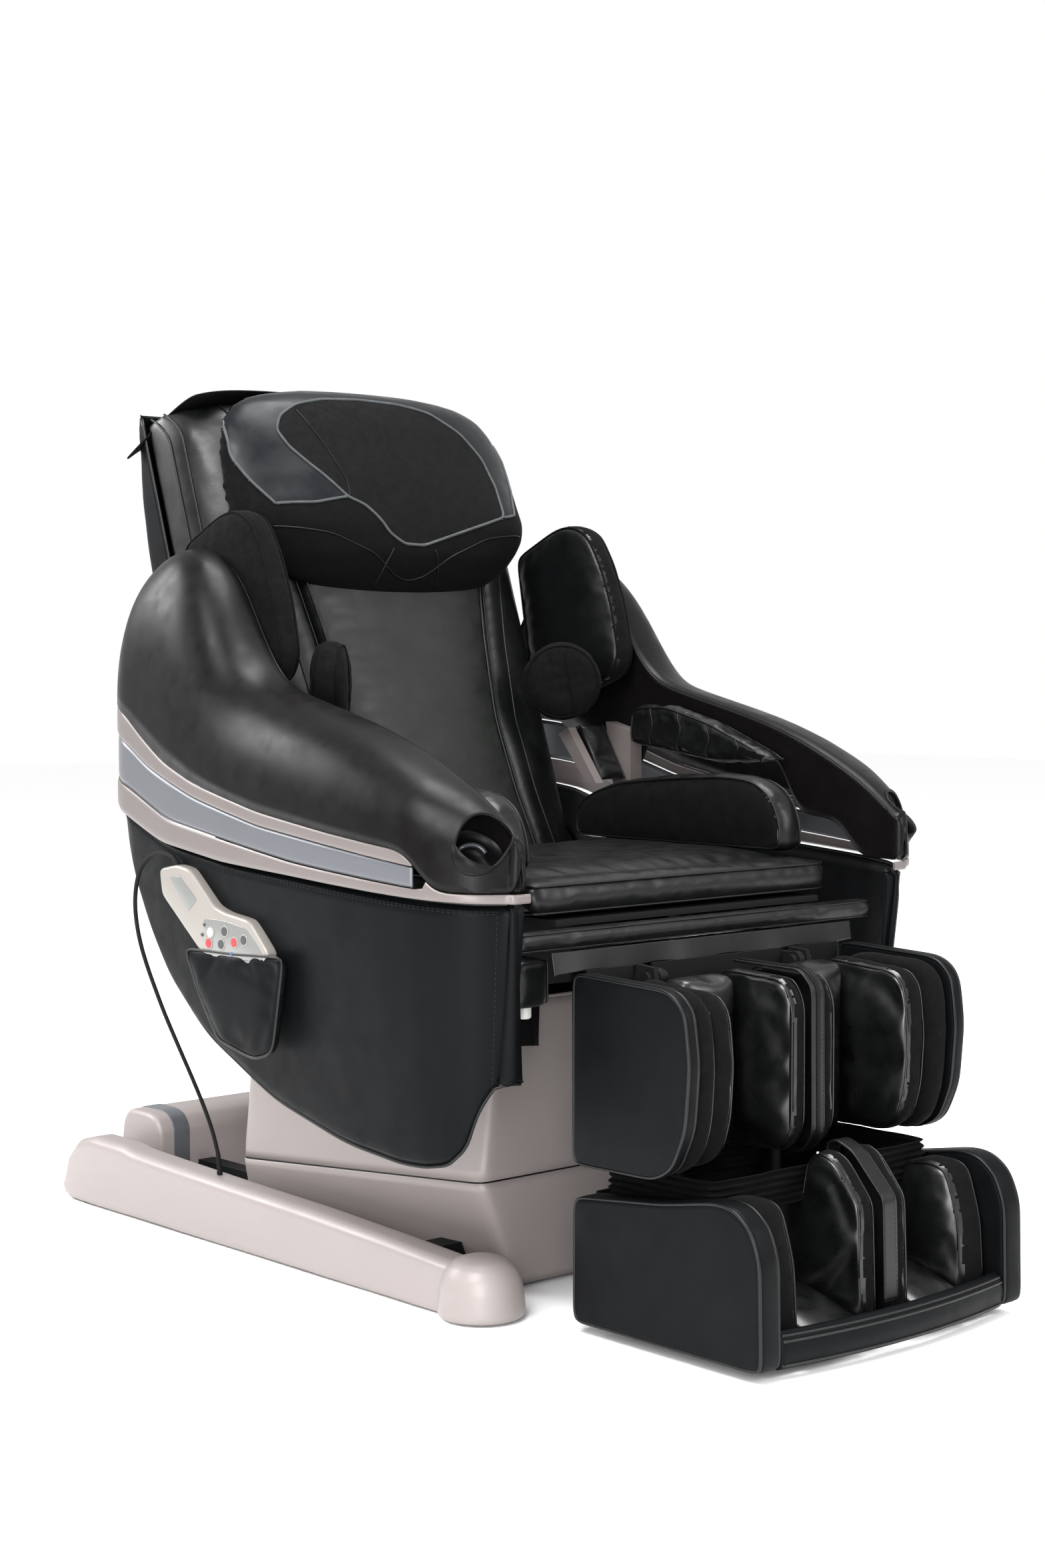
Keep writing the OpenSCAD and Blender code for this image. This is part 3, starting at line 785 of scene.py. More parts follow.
def blow_up():
    """Runs the cloth of every padded piece at once, and leaves only its result."""
    scene = bpy.context.scene
    for item in PADS:
        cloth = item["obj"].modifiers.new("cloth", "CLOTH")
        s = cloth.settings
        s.quality = 4
        s.mass = 0.25
        s.tension_stiffness = s.compression_stiffness = 18
        s.shear_stiffness = 6
        s.bending_stiffness = 0.6
        s.air_damping = 2.0
        s.use_pressure = True
        s.uniform_pressure_force = item["pressure"]
        s.shrink_min = -item["slack"]
        s.vertex_group_mass = "sewn"
        s.effector_weights.gravity = 0.0
        cloth.collision_settings.use_collision = False
        cloth.collision_settings.use_self_collision = False
        cloth.point_cache.frame_start = 1
        cloth.point_cache.frame_end = CLOTH_FRAMES
    scene.frame_start, scene.frame_end = 1, CLOTH_FRAMES
    for f in range(1, CLOTH_FRAMES + 1):
        scene.frame_set(f)
    graph = bpy.context.evaluated_depsgraph_get()
    for item in PADS:
        item["moved"] = positions(item["obj"].evaluated_get(graph).data)
    for item in PADS:
        item["obj"].modifiers.clear()
    scene.frame_set(1)
    for item in PADS:
        obj = item["obj"]
        if "moved" in item:
            step = item["moved"] - item["base"]
            far = np.linalg.norm(step, axis=1)[:, None] + 1e-12
            step *= item["cap"] * np.tanh(far / item["cap"]) / far
            set_positions(obj.data, item["base"] + step)
        ease = obj.modifiers.new("ease", "SMOOTH")
        ease.factor = 0.5
        ease.iterations = item["ease"]
        apply_all(obj)
        obj.data.shade_smooth()
        if item["levels"]:
            subdivide(obj, item["levels"])


def touch(obj, points):
    """Points moved onto an object's nearest surface."""
    bm = bmesh.new()
    bm.from_mesh(obj if isinstance(obj, bpy.types.Mesh) else obj.data)
    tree = BVHTree.FromBMesh(bm)
    bm.free()
    return [tuple(tree.find_nearest(Vector(p))[0]) for p in points]


def pad_block(name, plane, outline, low, high, edge, body, slot, materials, piped=None, soft=10.0,
              extra=(), welt=2.0, **more):
    """A padded block with seams round both faces, and piping along them in a material."""
    rings, seams = block(plane, outline, low, high, edge, soft)
    mesh = surface(name, rings, wrap=True, caps=True)
    lines = [(s, True) for s in seams] + [(touch(mesh, p), c) for p, c in extra]
    obj = pad(name, mesh, body, slot, materials, lines, **more)
    if piped is not None:
        piping(name + "_piping", lines, welt * MM, body, piped)
    return obj


def hard(name, plane, outline, low, high, edge, body, slot, material, soft=6.0, replaces=()):
    """A moulded piece: an outline run from low to high with round edges."""
    rings, _ = block(plane, outline, low, high, edge, soft)
    obj = link(name, surface(name, rings, wrap=True, caps=True), body, material)
    if replaces:
        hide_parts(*replaces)
    return obj


def both_sides(make):
    for side, word in ((1, "left"), (-1, "right")):
        make(side, word)


def side_of(low, high, side):
    """low and high of a block on one side of the chair."""
    return (low, high) if side > 0 else (-high, -low)


# ---- back

PAD_EDGE = [(0, 172), (120, 152), (235, 144), (360, 157), (500, 180), (700, 184)]


def pad_half(u):
    return float(np.interp(u, [p[0] for p in PAD_EDGE], [p[1] for p in PAD_EDGE]))


def make_back_pad():
    u = np.linspace(2, 684, 40)
    outline = [(pad_half(t), t) for t in u] + [(-pad_half(t), t) for t in u[::-1]]
    pad_block("back_pad", "back", outline, 4, 34, 12, "backrest", "fabric_charcoal", MAT["cloth"],
              MAT["leather"], soft=14, replaces=("back_pad",), voxel=7, cap=9, slack=0.008,
              pressure=3.0, held=lambda co: depth_of(co) > 0.024)


def depth_of(co):
    """Depth of points behind the front of the back, in metres."""
    return (co[:, 1] - 0.120) * COS - (co[:, 2] - 0.545) * SIN


def height_of(co):
    return (co[:, 1] - 0.120) * SIN + (co[:, 2] - 0.545) * COS


def make_bolster(side, word):
    """Leather side of the back: from the centre pad's edge, out and round to the rear shell."""
    rows, inner, outer, second, mid = [], [], [], [], []
    for u in np.linspace(-2, 748, 60):
        w = pad_half(min(u, 690)) + 4
        end = max(0.0, (u - 690) / 58)
        fall = 34 * end ** 2
        front = [(w, 40), (w, 16 + fall), (w + 18, 12 + fall), (w + 50, 20 + fall), (262, 38 + fall),
                 (286, 56 + fall), (299, 84 + fall), (301, 118), (299, 148), (262, 148), (236, 140),
                 (222, 110), (230, 60 + fall)]
        if w + 50 > 240:
            front[3] = (240, 27 + fall)
        ring = soften(front, 5, 64)
        rows.append([on_back(side * x, v, u) for x, v in ring])
        inner.append(on_back(side * (w + 3), 12 + fall, u))
        outer.append(on_back(side * 294, 68 + fall, u))
        second.append(on_back(side * 302, 92 + fall, u))
        mid.append(on_back(side * (w + 44), 17 + fall, u))
    mesh = surface("bolster", rows, wrap=True, caps=True)
    second = (touch(mesh, second), False)
    lines = [(touch(mesh, outer), False), (touch(mesh, inner), False), (touch(mesh, mid), False)]
    pad(f"back_bolster_{word}", mesh, "backrest", "leather_black", MAT["leather"], lines,
        voxel=7, cap=5, slack=0.0, pressure=1.5, held=lambda co: depth_of(co) > 0.10)
    lines.insert(0, second)
    piping(f"bolster_piping_{word}", lines[:2], 1.8 * MM, "backrest", MAT["leather"])
    piping(f"bolster_seam_{word}", lines[2:], 1.5 * MM, "backrest", MAT["leather"])


PILLOW_HALF = [(428, 96), (438, 142), (452, 190), (478, 232), (500, 256), (520, 272), (545, 282), (600, 283),
               (660, 276), (700, 262), (725, 243), (742, 212), (757, 140)]
PILLOW_FRONT = [(428, -3), (440, -20), (455, -37), (479, -56), (520, -64), (600, -66), (680, -56),
                (720, -46), (742, -32), (757, -8)]


def pillow_point(x, u):
    """A point of the pillow's front, x and u in mm."""
    half = np.interp(u, *zip(*PILLOW_HALF))
    front = np.interp(u, *zip(*PILLOW_FRONT)) + 4
    t = min(1.0, abs(x) / half)
    flat = 2.6 + 2.2 * math.exp(-((u - 530) / 45) ** 2)
    v = front + (14 - front) * (1 - (1 - t ** flat) ** 0.62)
    return on_back(x, v, u)


def make_pillow():
    rows = []
    for u in np.concatenate([[428], np.linspace(432, 753, 52), [757]]):
        half = float(np.interp(u, *zip(*PILLOW_HALF)))
        xs = half * np.sin(np.linspace(-math.pi / 2, math.pi / 2, 61))
        front = [pillow_point(x, u) for x in xs]
        rear = [on_back(x * 0.985, 15, u) for x in xs[::-1][1:-1]]
        rows.append(front + rear)
    mesh = surface("pillow", rows, wrap=True, caps=True)
    left = [(-100, 728), (-152, 717), (-184, 698), (-198, 673), (-186, 644), (-160, 612), (-130, 580),
            (-113, 561)]
    low = [(-113, 561), (-83, 549), (-62, 530), (-45, 507), (-18, 491), (20, 490), (82, 508), (147, 527),
           (197, 543)]
    right = [(202, 596), (190, 644), (152, 686), (100, 716), (40, 728), (-30, 731), (-100, 728)]
    panel = left + low[1:] + right
    line = lambda pts, soft=8, n=120: [pillow_point(x, u) for x, u in soften(pts, soft, n, closed=False)]
    dart = line([(-155, 706), (-126, 642), (-106, 584), (-108, 563)])
    wings = [line([(k * 262, 690), (k * 268, 640), (k * 256, 600), (k * 232, 553)], 8, 60) for k in (-1, 1)]
    rim = [line([(-232, 553), (-172, 551), (-113, 561)], 6, 30),
           line([(197, 543), (215, 547), (232, 553)], 3, 20)]
    crease = line([(-240, 520), (-150, 505), (-70, 474), (-30, 450), (0, 444), (30, 450), (70, 474),
                   (150, 505), (240, 520)])
    sides = [line([(-40, 484), (-52, 462), (-60, 436)], 4, 20),
             line([(40, 484), (52, 462), (60, 436)], 4, 20)]
    pale = [line(panel, 6, 300)] + wings + rim
    seams = [(touch(mesh, s), False) for s in pale + [dart, crease] + sides]
    border = np.array(soften(panel, 6, 240, closed=False))
    low_curve = np.array([(-290, 556), (-232, 553), (-172, 551)] + low + [(232, 553), (290, 556)])
    side_curve = np.array([(553, 232), (600, 256), (640, 268), (690, 262), (715, 300)])

    def zone(mids, _):
        x, u, v = mids[:, 0] / MM, height_of(mids) / MM, depth_of(mids) / MM
        inside = np.zeros(len(x), bool)
        j = len(border) - 1
        for i in range(len(border)):
            (xi, ui), (xj, uj) = border[i], border[j]
            crosses = ((ui > u) != (uj > u)) & (x < (xj - xi) * (u - ui) / (uj - ui + 1e-9) + xi)
            inside ^= crosses
            j = i
        below = u < np.interp(x, low_curve[:, 0], low_curve[:, 1])
        out = np.zeros(len(x), int)
        out[inside & (v < 10)] = 1
        out[below | (np.abs(x) > np.interp(u, side_curve[:, 0], side_curve[:, 1]))] = 2
        return out

    pad("head_pillow", mesh, "backrest", "leather_black",
        [MAT["blue_leather"], MAT["pillow_cloth"], MAT["black_cloth"]], seams, replaces=("head_pillow",),
        voxel=6, cap=6, slack=0.0, pressure=2.0, held=lambda co: depth_of(co) > 0.004, zone=zone)
    piping("pillow_piping", seams[:5], 2.1 * MM, "backrest", MAT["pale_piping"])
    piping("pillow_seams", seams[5:], 1.3 * MM, "backrest", MAT["blue_leather"])


def make_rear_shell():
    out = soften([(184, -2), (193, 30), (214, 130), (229, 230), (237, 340), (240, 450), (236, 560),
                  (224, 650),
                  (205, 720), (186, 748), (160, 762)], 16, 60, closed=False)
    rows = []
    for v, u in [(152, out[0][1])] + list(out) + [(152, 766)]:
        r = min(34.0, 0.6 * max(1.0, v - 150))
        line = [(-302, 150), (-302, v - r), (-302 + r, v), (302 - r, v), (302, v - r), (302, 150)]
        rows.append([on_back(x, w, u) for x, w in soften(line, 0.35 * r, 90, closed=False)])
    shell = link("rear_shell", surface("rear_shell", rows), "backrest", MAT["panel"])
    solidify(shell, 5 * MM)
    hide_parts("back_shell")
    on = lambda pts: touch(shell, [on_back(x, 232, u) for x, u in soften(pts, 12, 120, closed=False)])
    seams = [(on([(k * 176, 12), (k * 188, 300), (k * 176, 560), (k * 120, 745)]), False) for k in (-1, 1)]
    seams.append((on([(-290, 470), (-100, 452), (100, 452), (290, 470)]), False))
    piping("rear_seams", seams, 1.8 * MM, "backrest", MAT["panel"])
    rims = [([on_back(k * 301, 149, u) for u in np.linspace(0, 758, 60)], False) for k in (-1, 1)]
    piping("rear_rim", rims, 2.6 * MM, "backrest", MAT["leather"])


def make_top_flap():
    """Cloth laid over the top of the back, its rear corners hanging."""
    rows = []
    cols = np.linspace(-1, 1, 61)
    for t in np.linspace(0, 1, 30):
        row = []
        for c in cols:
            hang = max(0.0, (-c - 0.72) / 0.28) * t ** 2
            x = 250 * c - 26 - 12 * t - 30 * hang
            v = 30 + 138 * t + 12 * t * abs(c) ** 3
            arch = 5 * (1 - c * c) * (1 - 0.5 * t)
            wave = 2.2 * math.sin(9 * c + 3 * t) * t + 1.5 * math.sin(17 * c - 2) * t
            drop = 14 * t ** 2 + 10 * abs(c) ** 4 * t ** 2 + 24 * hang
            start = 6 * (1 - t) ** 8
            row.append(on_back(x, v, 765 + arch + wave - drop - start - 10 * abs(c) ** 6))
        rows.append(row)
    mesh = surface("top_flap", rows)
    flap = link("top_flap", mesh, "backrest", MAT["black_cloth"])
    hem = rows[0] + [r[-1] for r in rows[1:]] + rows[-1][::-1][1:] + [r[0] for r in rows[::-1][1:-1]]
    edge = piping("top_flap_hem", [(hem, True)], 1.6 * MM, "backrest", MAT["black_cloth"])
    solidify(flap, 2.0 * MM, 0.0)
    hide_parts("top_flap")
    flat = (mean_length(rows[15:16]), mean_length([[r[30] for r in rows]]))


def make_shoulder_pad(side, word):
    outline = [(-96, 264), (-122, 290), (-131, 370), (-128, 440), (-114, 498), (-80, 526), (-42, 531),
               (58, 520), (93, 300), (60, 264)]
    low, high = side_of(303, 342, side)

    def zone(mids, normals):
        return ((normals[:, 0] * side < -0.6) & (mids[:, 0] / MM * side < 322)).astype(int)

    pad_block(f"shoulder_pad_{word}", "back_side", outline, low, high, 13, "backrest", "fabric_charcoal",
              [MAT["suede"], MAT["leather"]], MAT["black_cloth"], soft=14, voxel=5, cap=9, slack=0.02,
              pressure=6.0, welt=1.7, zone=zone)


def disc(centre, normal, radius, thick, edge, crown=0.0, count=72):
    """Rings of a round pad about an axis, in metres."""
    n = Vector(normal).normalized()
    turn = n.to_track_quat("Z", "Y").to_matrix()
    rings = []
    steps = [(radius - edge + edge * math.sin(t), thick / 2 - edge * (1 - math.cos(t)))
             for t in np.linspace(0, math.pi / 2, 6)]
    steps = [(radius * k, thick / 2 + crown * (1 - k * k)) for k in (0.15, 0.4, 0.65)] + steps
    steps = steps + [(r, -z) for r, z in steps[::-1]]
    for r, z in steps:
        rings.append([tuple(Vector(centre) + turn @ Vector((r * math.cos(a), r * math.sin(a), z)))
                      for a in wheel(count)])
    return rings, turn


def make_waist_pad(side, word):
    centre = (side * 0.224, 0.142, 0.820)
    normal = (-side * math.sin(math.radians(42)), -math.cos(math.radians(42)), 0.0)
    centre = tuple(Vector(centre) + Vector(normal) * 0.001)
    rings, turn = disc(centre, normal, 60 * MM, 42 * MM, 15 * MM, 3 * MM)
    mesh = surface("waist", rings, wrap=True, caps=True)
    circle = lambda r, z: [tuple(Vector(centre) + turn @ Vector((r * math.cos(a), r * math.sin(a), z)))
                           for a in wheel(90)]
    bent = lambda t: Vector((12 * MM + 6 * MM * math.cos(t * 3.1), (t * 100 - 50) * MM, 24 * MM))
    cross = [tuple(Vector(centre) + turn @ bent(k / 20)) for k in range(21)]
    lines = [(touch(mesh, circle(55 * MM, 17 * MM)), True), (touch(mesh, circle(55 * MM, -17 * MM)), True),
             (touch(mesh, cross), False)]
    pad(f"waist_pad_{word}", mesh, "base", "leather_black", MAT["suede"], lines, voxel=4.5, cap=7,
        slack=0.03, pressure=5.0)
    piping(f"waist_piping_{word}", lines, 1.3 * MM, "base", MAT["black_cloth"])


# ---- seat

def rect(a0, b0, a1, b1):
    return [(a0, b0), (a1, b0), (a1, b1), (a0, b1)]


def make_seat():
    seam = [((x, -0.306 + 0.01 * (x / 0.27) ** 2, 0.576)) for x in np.linspace(-0.272, 0.272, 60)]
    pad_block("seat_cushion", "xy", rect(-282, -356, 282, 94), 528, 572, 15, "base", "leather_black",
              MAT["leather"], MAT["leather"], soft=13, replaces=("seat_cushion",), voxel=7, cap=14,
              slack=0.03, pressure=5.0, extra=[(seam, False)], welt=1.8,
              held=lambda co: co[:, 2] < 0.532)
    pad_block("front_valance", "xy", rect(-337, -391, 337, -363), 488, 516, 12, "base", "leather_black",
              MAT["leather"], MAT["leather"], soft=6, replaces=("front_valance",), voxel=4.5, cap=5,
              slack=0.03, pressure=4.0, welt=1.1)


def make_skirts():
    """Gathered cloth between the valance and the leg unit, and two hanging strips beside the base."""
    rows = []
    cols = np.linspace(-1, 1, 150)
    for t in np.linspace(0, 1, 18):
        row = []
        for c in cols:
            gather = 2.6 * math.sin(8 * c + 1.5 * math.sin(3 * c)) + 1.2 * math.sin(19 * c + 2)
            y = -391 - 5 * t + gather * (0.35 + 0.65 * t) * 0.8
            z = 488 - 27 * t + 1.6 * math.sin(14 * c) * t
            row.append((285 * c * MM, y * MM, z * MM))
        rows.append(row)
    flap = link("seat_flap", surface("seat_flap", rows), None, MAT["leather"])
    solidify(flap, 1.6 * MM, 0.0)
    apply_all(flap)
    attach(flap, "base")
    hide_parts("seat_skirts")
    mean_length(rows)
    for side, word in ((1, "left"), (-1, "right")):
        rows = []
        for t in np.linspace(0, 1, 20):
            rows.append([(side * (213 + 48 * c) * MM, (-290 + 3.0 * math.sin(9 * c + 2 * t) * t) * MM,
                          (430 - 79 * t + 3 * math.sin(3 * c) * t) * MM) for c in np.linspace(0, 1, 26)])
        strip = link(f"side_flap_{word}", surface("side_flap", rows), "base",
                     MAT["black_cloth"])
        solidify(strip, 1.6 * MM, 0.0)
        mean_length(rows)
        mean_length(zip(*rows))


def make_side_pads(side, word):
    hip = [(132, 580), (127, 632), (90, 654), (30, 671), (-80, 682), (-185, 688), (-246, 684),
           (-284, 662), (-302, 620), (-304, 580)]

    def zone(mids, normals):
        return (np.abs(normals[:, 0]) > 0.75).astype(int)

    pad_block(f"hip_pad_{word}", "yz", hip, *side_of(236, 288, side), 15, "base", "leather_black",
              [MAT["leather"], MAT["suede"]], MAT["leather"], soft=15, voxel=5.5, cap=9, slack=0.02,
              pressure=5.0, zone=zone, welt=1.7, held=lambda co: co[:, 2] < 0.583)
    fore = [(82, 724), (77, 782), (0, 784), (-90, 761), (-198, 719), (-222, 704), (-100, 701)]
    ribs = []
    for y, low, top in ((30, 716, 785), (-30, 709, 776), (-90, 702, 761), (-150, 701, 740)):
        ribs.append(([(side * 305 * MM, (y + 4 * math.sin(k)) * MM, (low + (top - low) * k / 8) * MM)
                      for k in range(9)], False))
    pad_block(f"forearm_pad_{word}", "yz", fore, *side_of(306, 346, side), 13, "base", "leather_black",
              MAT["leather"], MAT["leather"], soft=11, voxel=4.5, cap=9, slack=0.06, pressure=5.0,
              extra=ribs, welt=1.2)
    strap = [(147, 755), (163, 744), (112, 667), (93, 667)]
    pad_block(f"side_strap_{word}", "yz", strap, *side_of(266, 318, side), 5, "base", "leather_black",
              MAT["leather"], MAT["leather"], soft=5, voxel=3.5, cap=4, slack=0.03, pressure=4.0, welt=0.9)
    knee = [(-358, 415), (-358, 476), (-302, 476), (-302, 415)]
    pad_block(f"knee_block_{word}", "yz", knee, *side_of(254, 314, side), 12, "base", "leather_black",
              MAT["leather"], MAT["leather"], soft=7, voxel=4.5, cap=6, slack=0.03, pressure=4.0, welt=1.2)
    rings, _ = disc((side * 0.268, -0.322, 0.405), (0, 0, -1), 8.6 * MM, 17 * MM, 3 * MM, 0.6 * MM, 40)
    link(f"knee_knob_{word}", surface("knob", rings, wrap=True, caps=True), "base",
         MAT["white"])


# ---- leg and foot units

CALF = [(-405, 220), (-551, 222), (-583, 239), (-605, 289), (-612, 370), (-604, 432), (-589, 450),
        (-571, 458), (-405, 464)]


def unit_side(unit, outline, low, high, edge, count, side, word, body):
    """Outer side of a leg or foot unit: welts round both faces, and a line of stitches inside them."""
    rings, seams = block("yz", outline, *side_of(low, high, side), edge, 12)
    panel = link(f"{unit}_side_{word}", surface(unit, rings, wrap=True, caps=True), body,
                 MAT["panel"])
    lines = [(touch(panel, s), True) for s in seams]
    piping(f"{unit}_side_piping_{word}", lines, 2.3 * MM, body, MAT["leather"])
    inner = soften(outline, 14, count)
    inner = inner - outward(inner) * 15
    face = side * (high - 0.4)
    stitches(f"{unit}_side_stitches_{word}", [[(face * MM, a * MM, b * MM) for a, b in inner]], body,
             MAT["thread"], 6.5 * MM, 4 * MM, 0.4 * MM)


def unit_strap(unit, outline, soft, half, body):
    """Strap round the front of a unit's divider; gives back its line."""
    path = soften(outline, soft, 90, closed=False)
    rows = [[(x * MM, a * MM, b * MM) for x in np.linspace(-half, half, 9)] for a, b in path]
    strap = link(f"{unit}_strap", surface("strap", rows), body, MAT["leather"])
    solidify(strap, 2.4 * MM, 0.0)
    return path


def strap_stitches(unit, path, body):
    """Two lines of stitches along a unit's strap."""
    lines = [[(k * 10 * MM, a * MM, b * MM) for a, b in path + outward_open(path) * 1.3] for k in (-1, 1)]
    stitches(f"{unit}_strap_stitches", lines, body, MAT["thread"], 6 * MM, 3.6 * MM,
             0.4 * MM)


def well_face(side):
    """Glossy leather on a pad's face toward the well beside it, cloth elsewhere."""
    return lambda mids, normals: (normals[:, 0] * side > -0.45).astype(int)


def divider_face(side):
    """Glossy leather on a divider's outer face, cloth elsewhere."""
    return lambda mids, normals: (normals[:, 0] * side < 0.35).astype(int)


def make_calf_side(side, word):
    unit_side("calf", CALF, 243, 263, 7, 150, side, word, "leg_rest")
    band = [(-448, 226), (-556, 226), (-584, 244), (-600, 290), (-606, 365), (-600, 425), (-584, 446),
            (-566, 454), (-448, 456)]
    pad_block(f"calf_band_{word}", "yz", band, *side_of(206, 240, side), 9, "leg_rest", "fabric_black",
              MAT["suede"], None, soft=10, voxel=5, cap=7, slack=0.02, pressure=5.0)
    outer = [(-448, 226), (-552, 228), (-578, 246), (-592, 290), (-597, 360), (-590, 424), (-572, 446),
             (-448, 454)]
    pad_block(f"calf_outer_{word}", "yz", outer, *side_of(163, 204, side), 13, "leg_rest", "leather_black",
              [MAT["glossy"], MAT["suede"]], MAT["glossy"], soft=12, voxel=5, cap=15, slack=0.06,
              pressure=8.0, welt=1.0, zone=well_face(side), ease=12)
    rear = [(-448, 226), (-496, 226), (-497, 452), (-448, 452)]
    pad_block(f"calf_rear_{word}", "yz", rear, *side_of(55, 154, side), 14, "leg_rest", "leather_black",
              MAT["glossy"], None, soft=9, voxel=6, cap=8, slack=0.03, pressure=5.0)
    wing = [(-448, 226), (-560, 228), (-578, 260), (-578, 420), (-560, 452), (-448, 456)]
    pad_block(f"calf_divider_{word}", "yz", wing, *side_of(13, 43, side), 11, "leg_rest", "leather_black",
              [MAT["glossy"], MAT["suede"]], MAT["glossy"], soft=12, voxel=5, cap=14, slack=0.06,
              pressure=8.0, welt=1.0, zone=divider_face(side), ease=12)


def make_calf_strap():
    """Strap over the calf divider, with a zip along its middle."""
    path = unit_strap("calf", [(-446, 461), (-560, 460), (-582, 440), (-584, 250), (-566, 226), (-446, 224)],
                      8, 12, "leg_rest")
    rows = [[(x * MM, a * MM, b * MM) for x in np.linspace(-3.2, 3.2, 4)]
            for a, b in path + outward_open(path) * 1.6]
    zip_tape = link("calf_zip", surface("calf_zip", rows), "leg_rest", MAT["black_plastic"])
    solidify(zip_tape, 1.6 * MM, 0.0)
    strap_stitches("calf", path, "leg_rest")


def outward_open(path):
    """Normals on the left of an open path, which runs round a shape in its front."""
    d = np.gradient(np.array(path, float), axis=0)
    n = np.stack([d[:, 1], -d[:, 0]], 1)
    n /= np.linalg.norm(n, axis=1)[:, None] + 1e-9
    centre = np.array(path).mean(0)
    return n if np.sum((np.array(path) - centre) * n) > 0 else -n


FOOT = [(-393, 14), (-393, 177), (-552, 194), (-640, 210), (-672, 208), (-700, 188), (-716, 150), (-719, 14)]


def make_foot_side(side, word):
    unit_side("foot", FOOT, 214, 251, 9, 170, side, word, "foot_rest")
    outer = [(-449, 30), (-449, 172), (-560, 188), (-630, 206), (-668, 200), (-690, 130), (-696, 30)]
    folds = [([(side * (152 + 14 * t) * MM, (y - 10 * t) * MM, (60 + 100 * t) * MM)
               for t in np.linspace(0, 1, 12)], False) for y in (-520, -600)]
    pad_block(f"foot_outer_{word}", "yz", outer, *side_of(153, 208, side), 16, "foot_rest", "leather_black",
              [MAT["glossy"], MAT["suede"]], MAT["leather"], soft=14, voxel=6, cap=9, slack=0.03,
              pressure=5.0, extra=folds[:1], welt=1.5,
              zone=well_face(side))
    heel = [(-449, 30), (-449, 168), (-500, 160), (-540, 90), (-557, 40), (-557, 30)]
    pad_block(f"foot_heel_{word}", "yz", heel, *side_of(55, 143, side), 14, "foot_rest", "leather_black",
              MAT["glossy"], None, soft=12, voxel=6, cap=8, slack=0.03, pressure=5.0)
    wing = [(-449, 30), (-449, 167), (-592, 171), (-602, 226), (-624, 245), (-652, 234), (-694, 184),
            (-700, 30)]
    pad_block(f"foot_divider_{word}", "yz", wing, *side_of(13, 48, side), 14, "foot_rest", "leather_black",
              [MAT["glossy"], MAT["suede"]], MAT["glossy"], soft=9, voxel=5, cap=18, slack=0.08,
              pressure=9.0, welt=1.0, ease=12,
              zone=divider_face(side))


def wall_front(x):
    return -736 + 20 * (x / 212) ** 2


def make_foot_front():
    """Front wall that bulges outward, the instep ramp behind it, and the divider's strap."""
    rows = []
    for x in np.linspace(-212, 212, 61):
        f = wall_front(x)
        ring = soften([(f + 3, 14), (f - 1.5, 34), (f + 1, 54), (f + 9, 61), (f + 20, 57), (f + 20, 14)],
                      3, 40)
        rows.append([(x * MM, a * MM, b * MM) for a, b in ring])
    wall = link("foot_front", surface("foot_front", rows, wrap=True, caps=True), "foot_rest",
                MAT["panel"])
    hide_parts("foot_shell")
    lines = []
    for z, dy in ((57.5, -1.0), (49, -1.5), (19, 0.6)):
        lines.append((touch(wall, [(x * MM, (wall_front(x) + dy) * MM, z * MM)
                                   for x in np.linspace(-210, 210, 80)]), False))
    piping("foot_front_piping", lines, 2.0 * MM, "foot_rest", MAT["leather"])
    outline = [(-606, 172), (-610, 246), (-624, 251), (-652, 240), (-702, 188), (-706, 60)]
    strap_stitches("foot", unit_strap("foot", outline, 6, 13, "foot_rest"), "foot_rest")
    hard("foot_back", "xy", rect(-213, -400, 213, -392), 24, 177, 2, "foot_rest", "leather_panel",
         MAT["panel"])
    for side, word in ((1, "left"), (-1, "right")):
        rows = []
        for t in np.linspace(0, 1, 26):
            y = -556 - 150 * t
            z = 86 - 38 * t + 7 * math.sin(math.pi * t)
            rows.append([(side * (50 + 100 * c) * MM, y * MM,
                          (z - 9 * (2 * c - 1) ** 4) * MM) for c in np.linspace(0, 1, 20)])
        sole = link(f"foot_sole_{word}", surface("sole", rows), "foot_rest", MAT["glossy"])
        solidify(sole, 5 * MM, -1.0)


def make_bellows():
    """Pleated cloth round the rods between the leg unit and the foot unit."""
    ring = soften([(-206, -598), (206, -598), (206, -404), (-206, -404)], 12, 260)
    n = outward(ring)
    rows = []
    for t in np.linspace(0, 1, 41):
        fold = 5 * (1 - math.cos(2 * math.pi * t * 5)) / 2
        rows.append([((p[0] - m[0] * (fold + 1.2 * math.sin(k * 0.37 + 9 * t))) * MM,
                      (p[1] - m[1] * (fold + 1.2 * math.sin(k * 0.31 + 7 * t))) * MM, (219 - 45 * t) * MM)
                     for k, (p, m) in enumerate(zip(ring, n))])
    mesh = surface("bellows", rows, wrap=True)
    bellows = link("foot_bellows", mesh, None, MAT["black_cloth"])
    solidify(bellows, 1.4 * MM, 0.0)
    apply_all(bellows)
    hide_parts("foot_bellows")
    around = mean_length([r + r[:1] for r in rows])
    mean_length(list(zip(*rows))[::5])
    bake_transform(bellows)


# ---- base and services

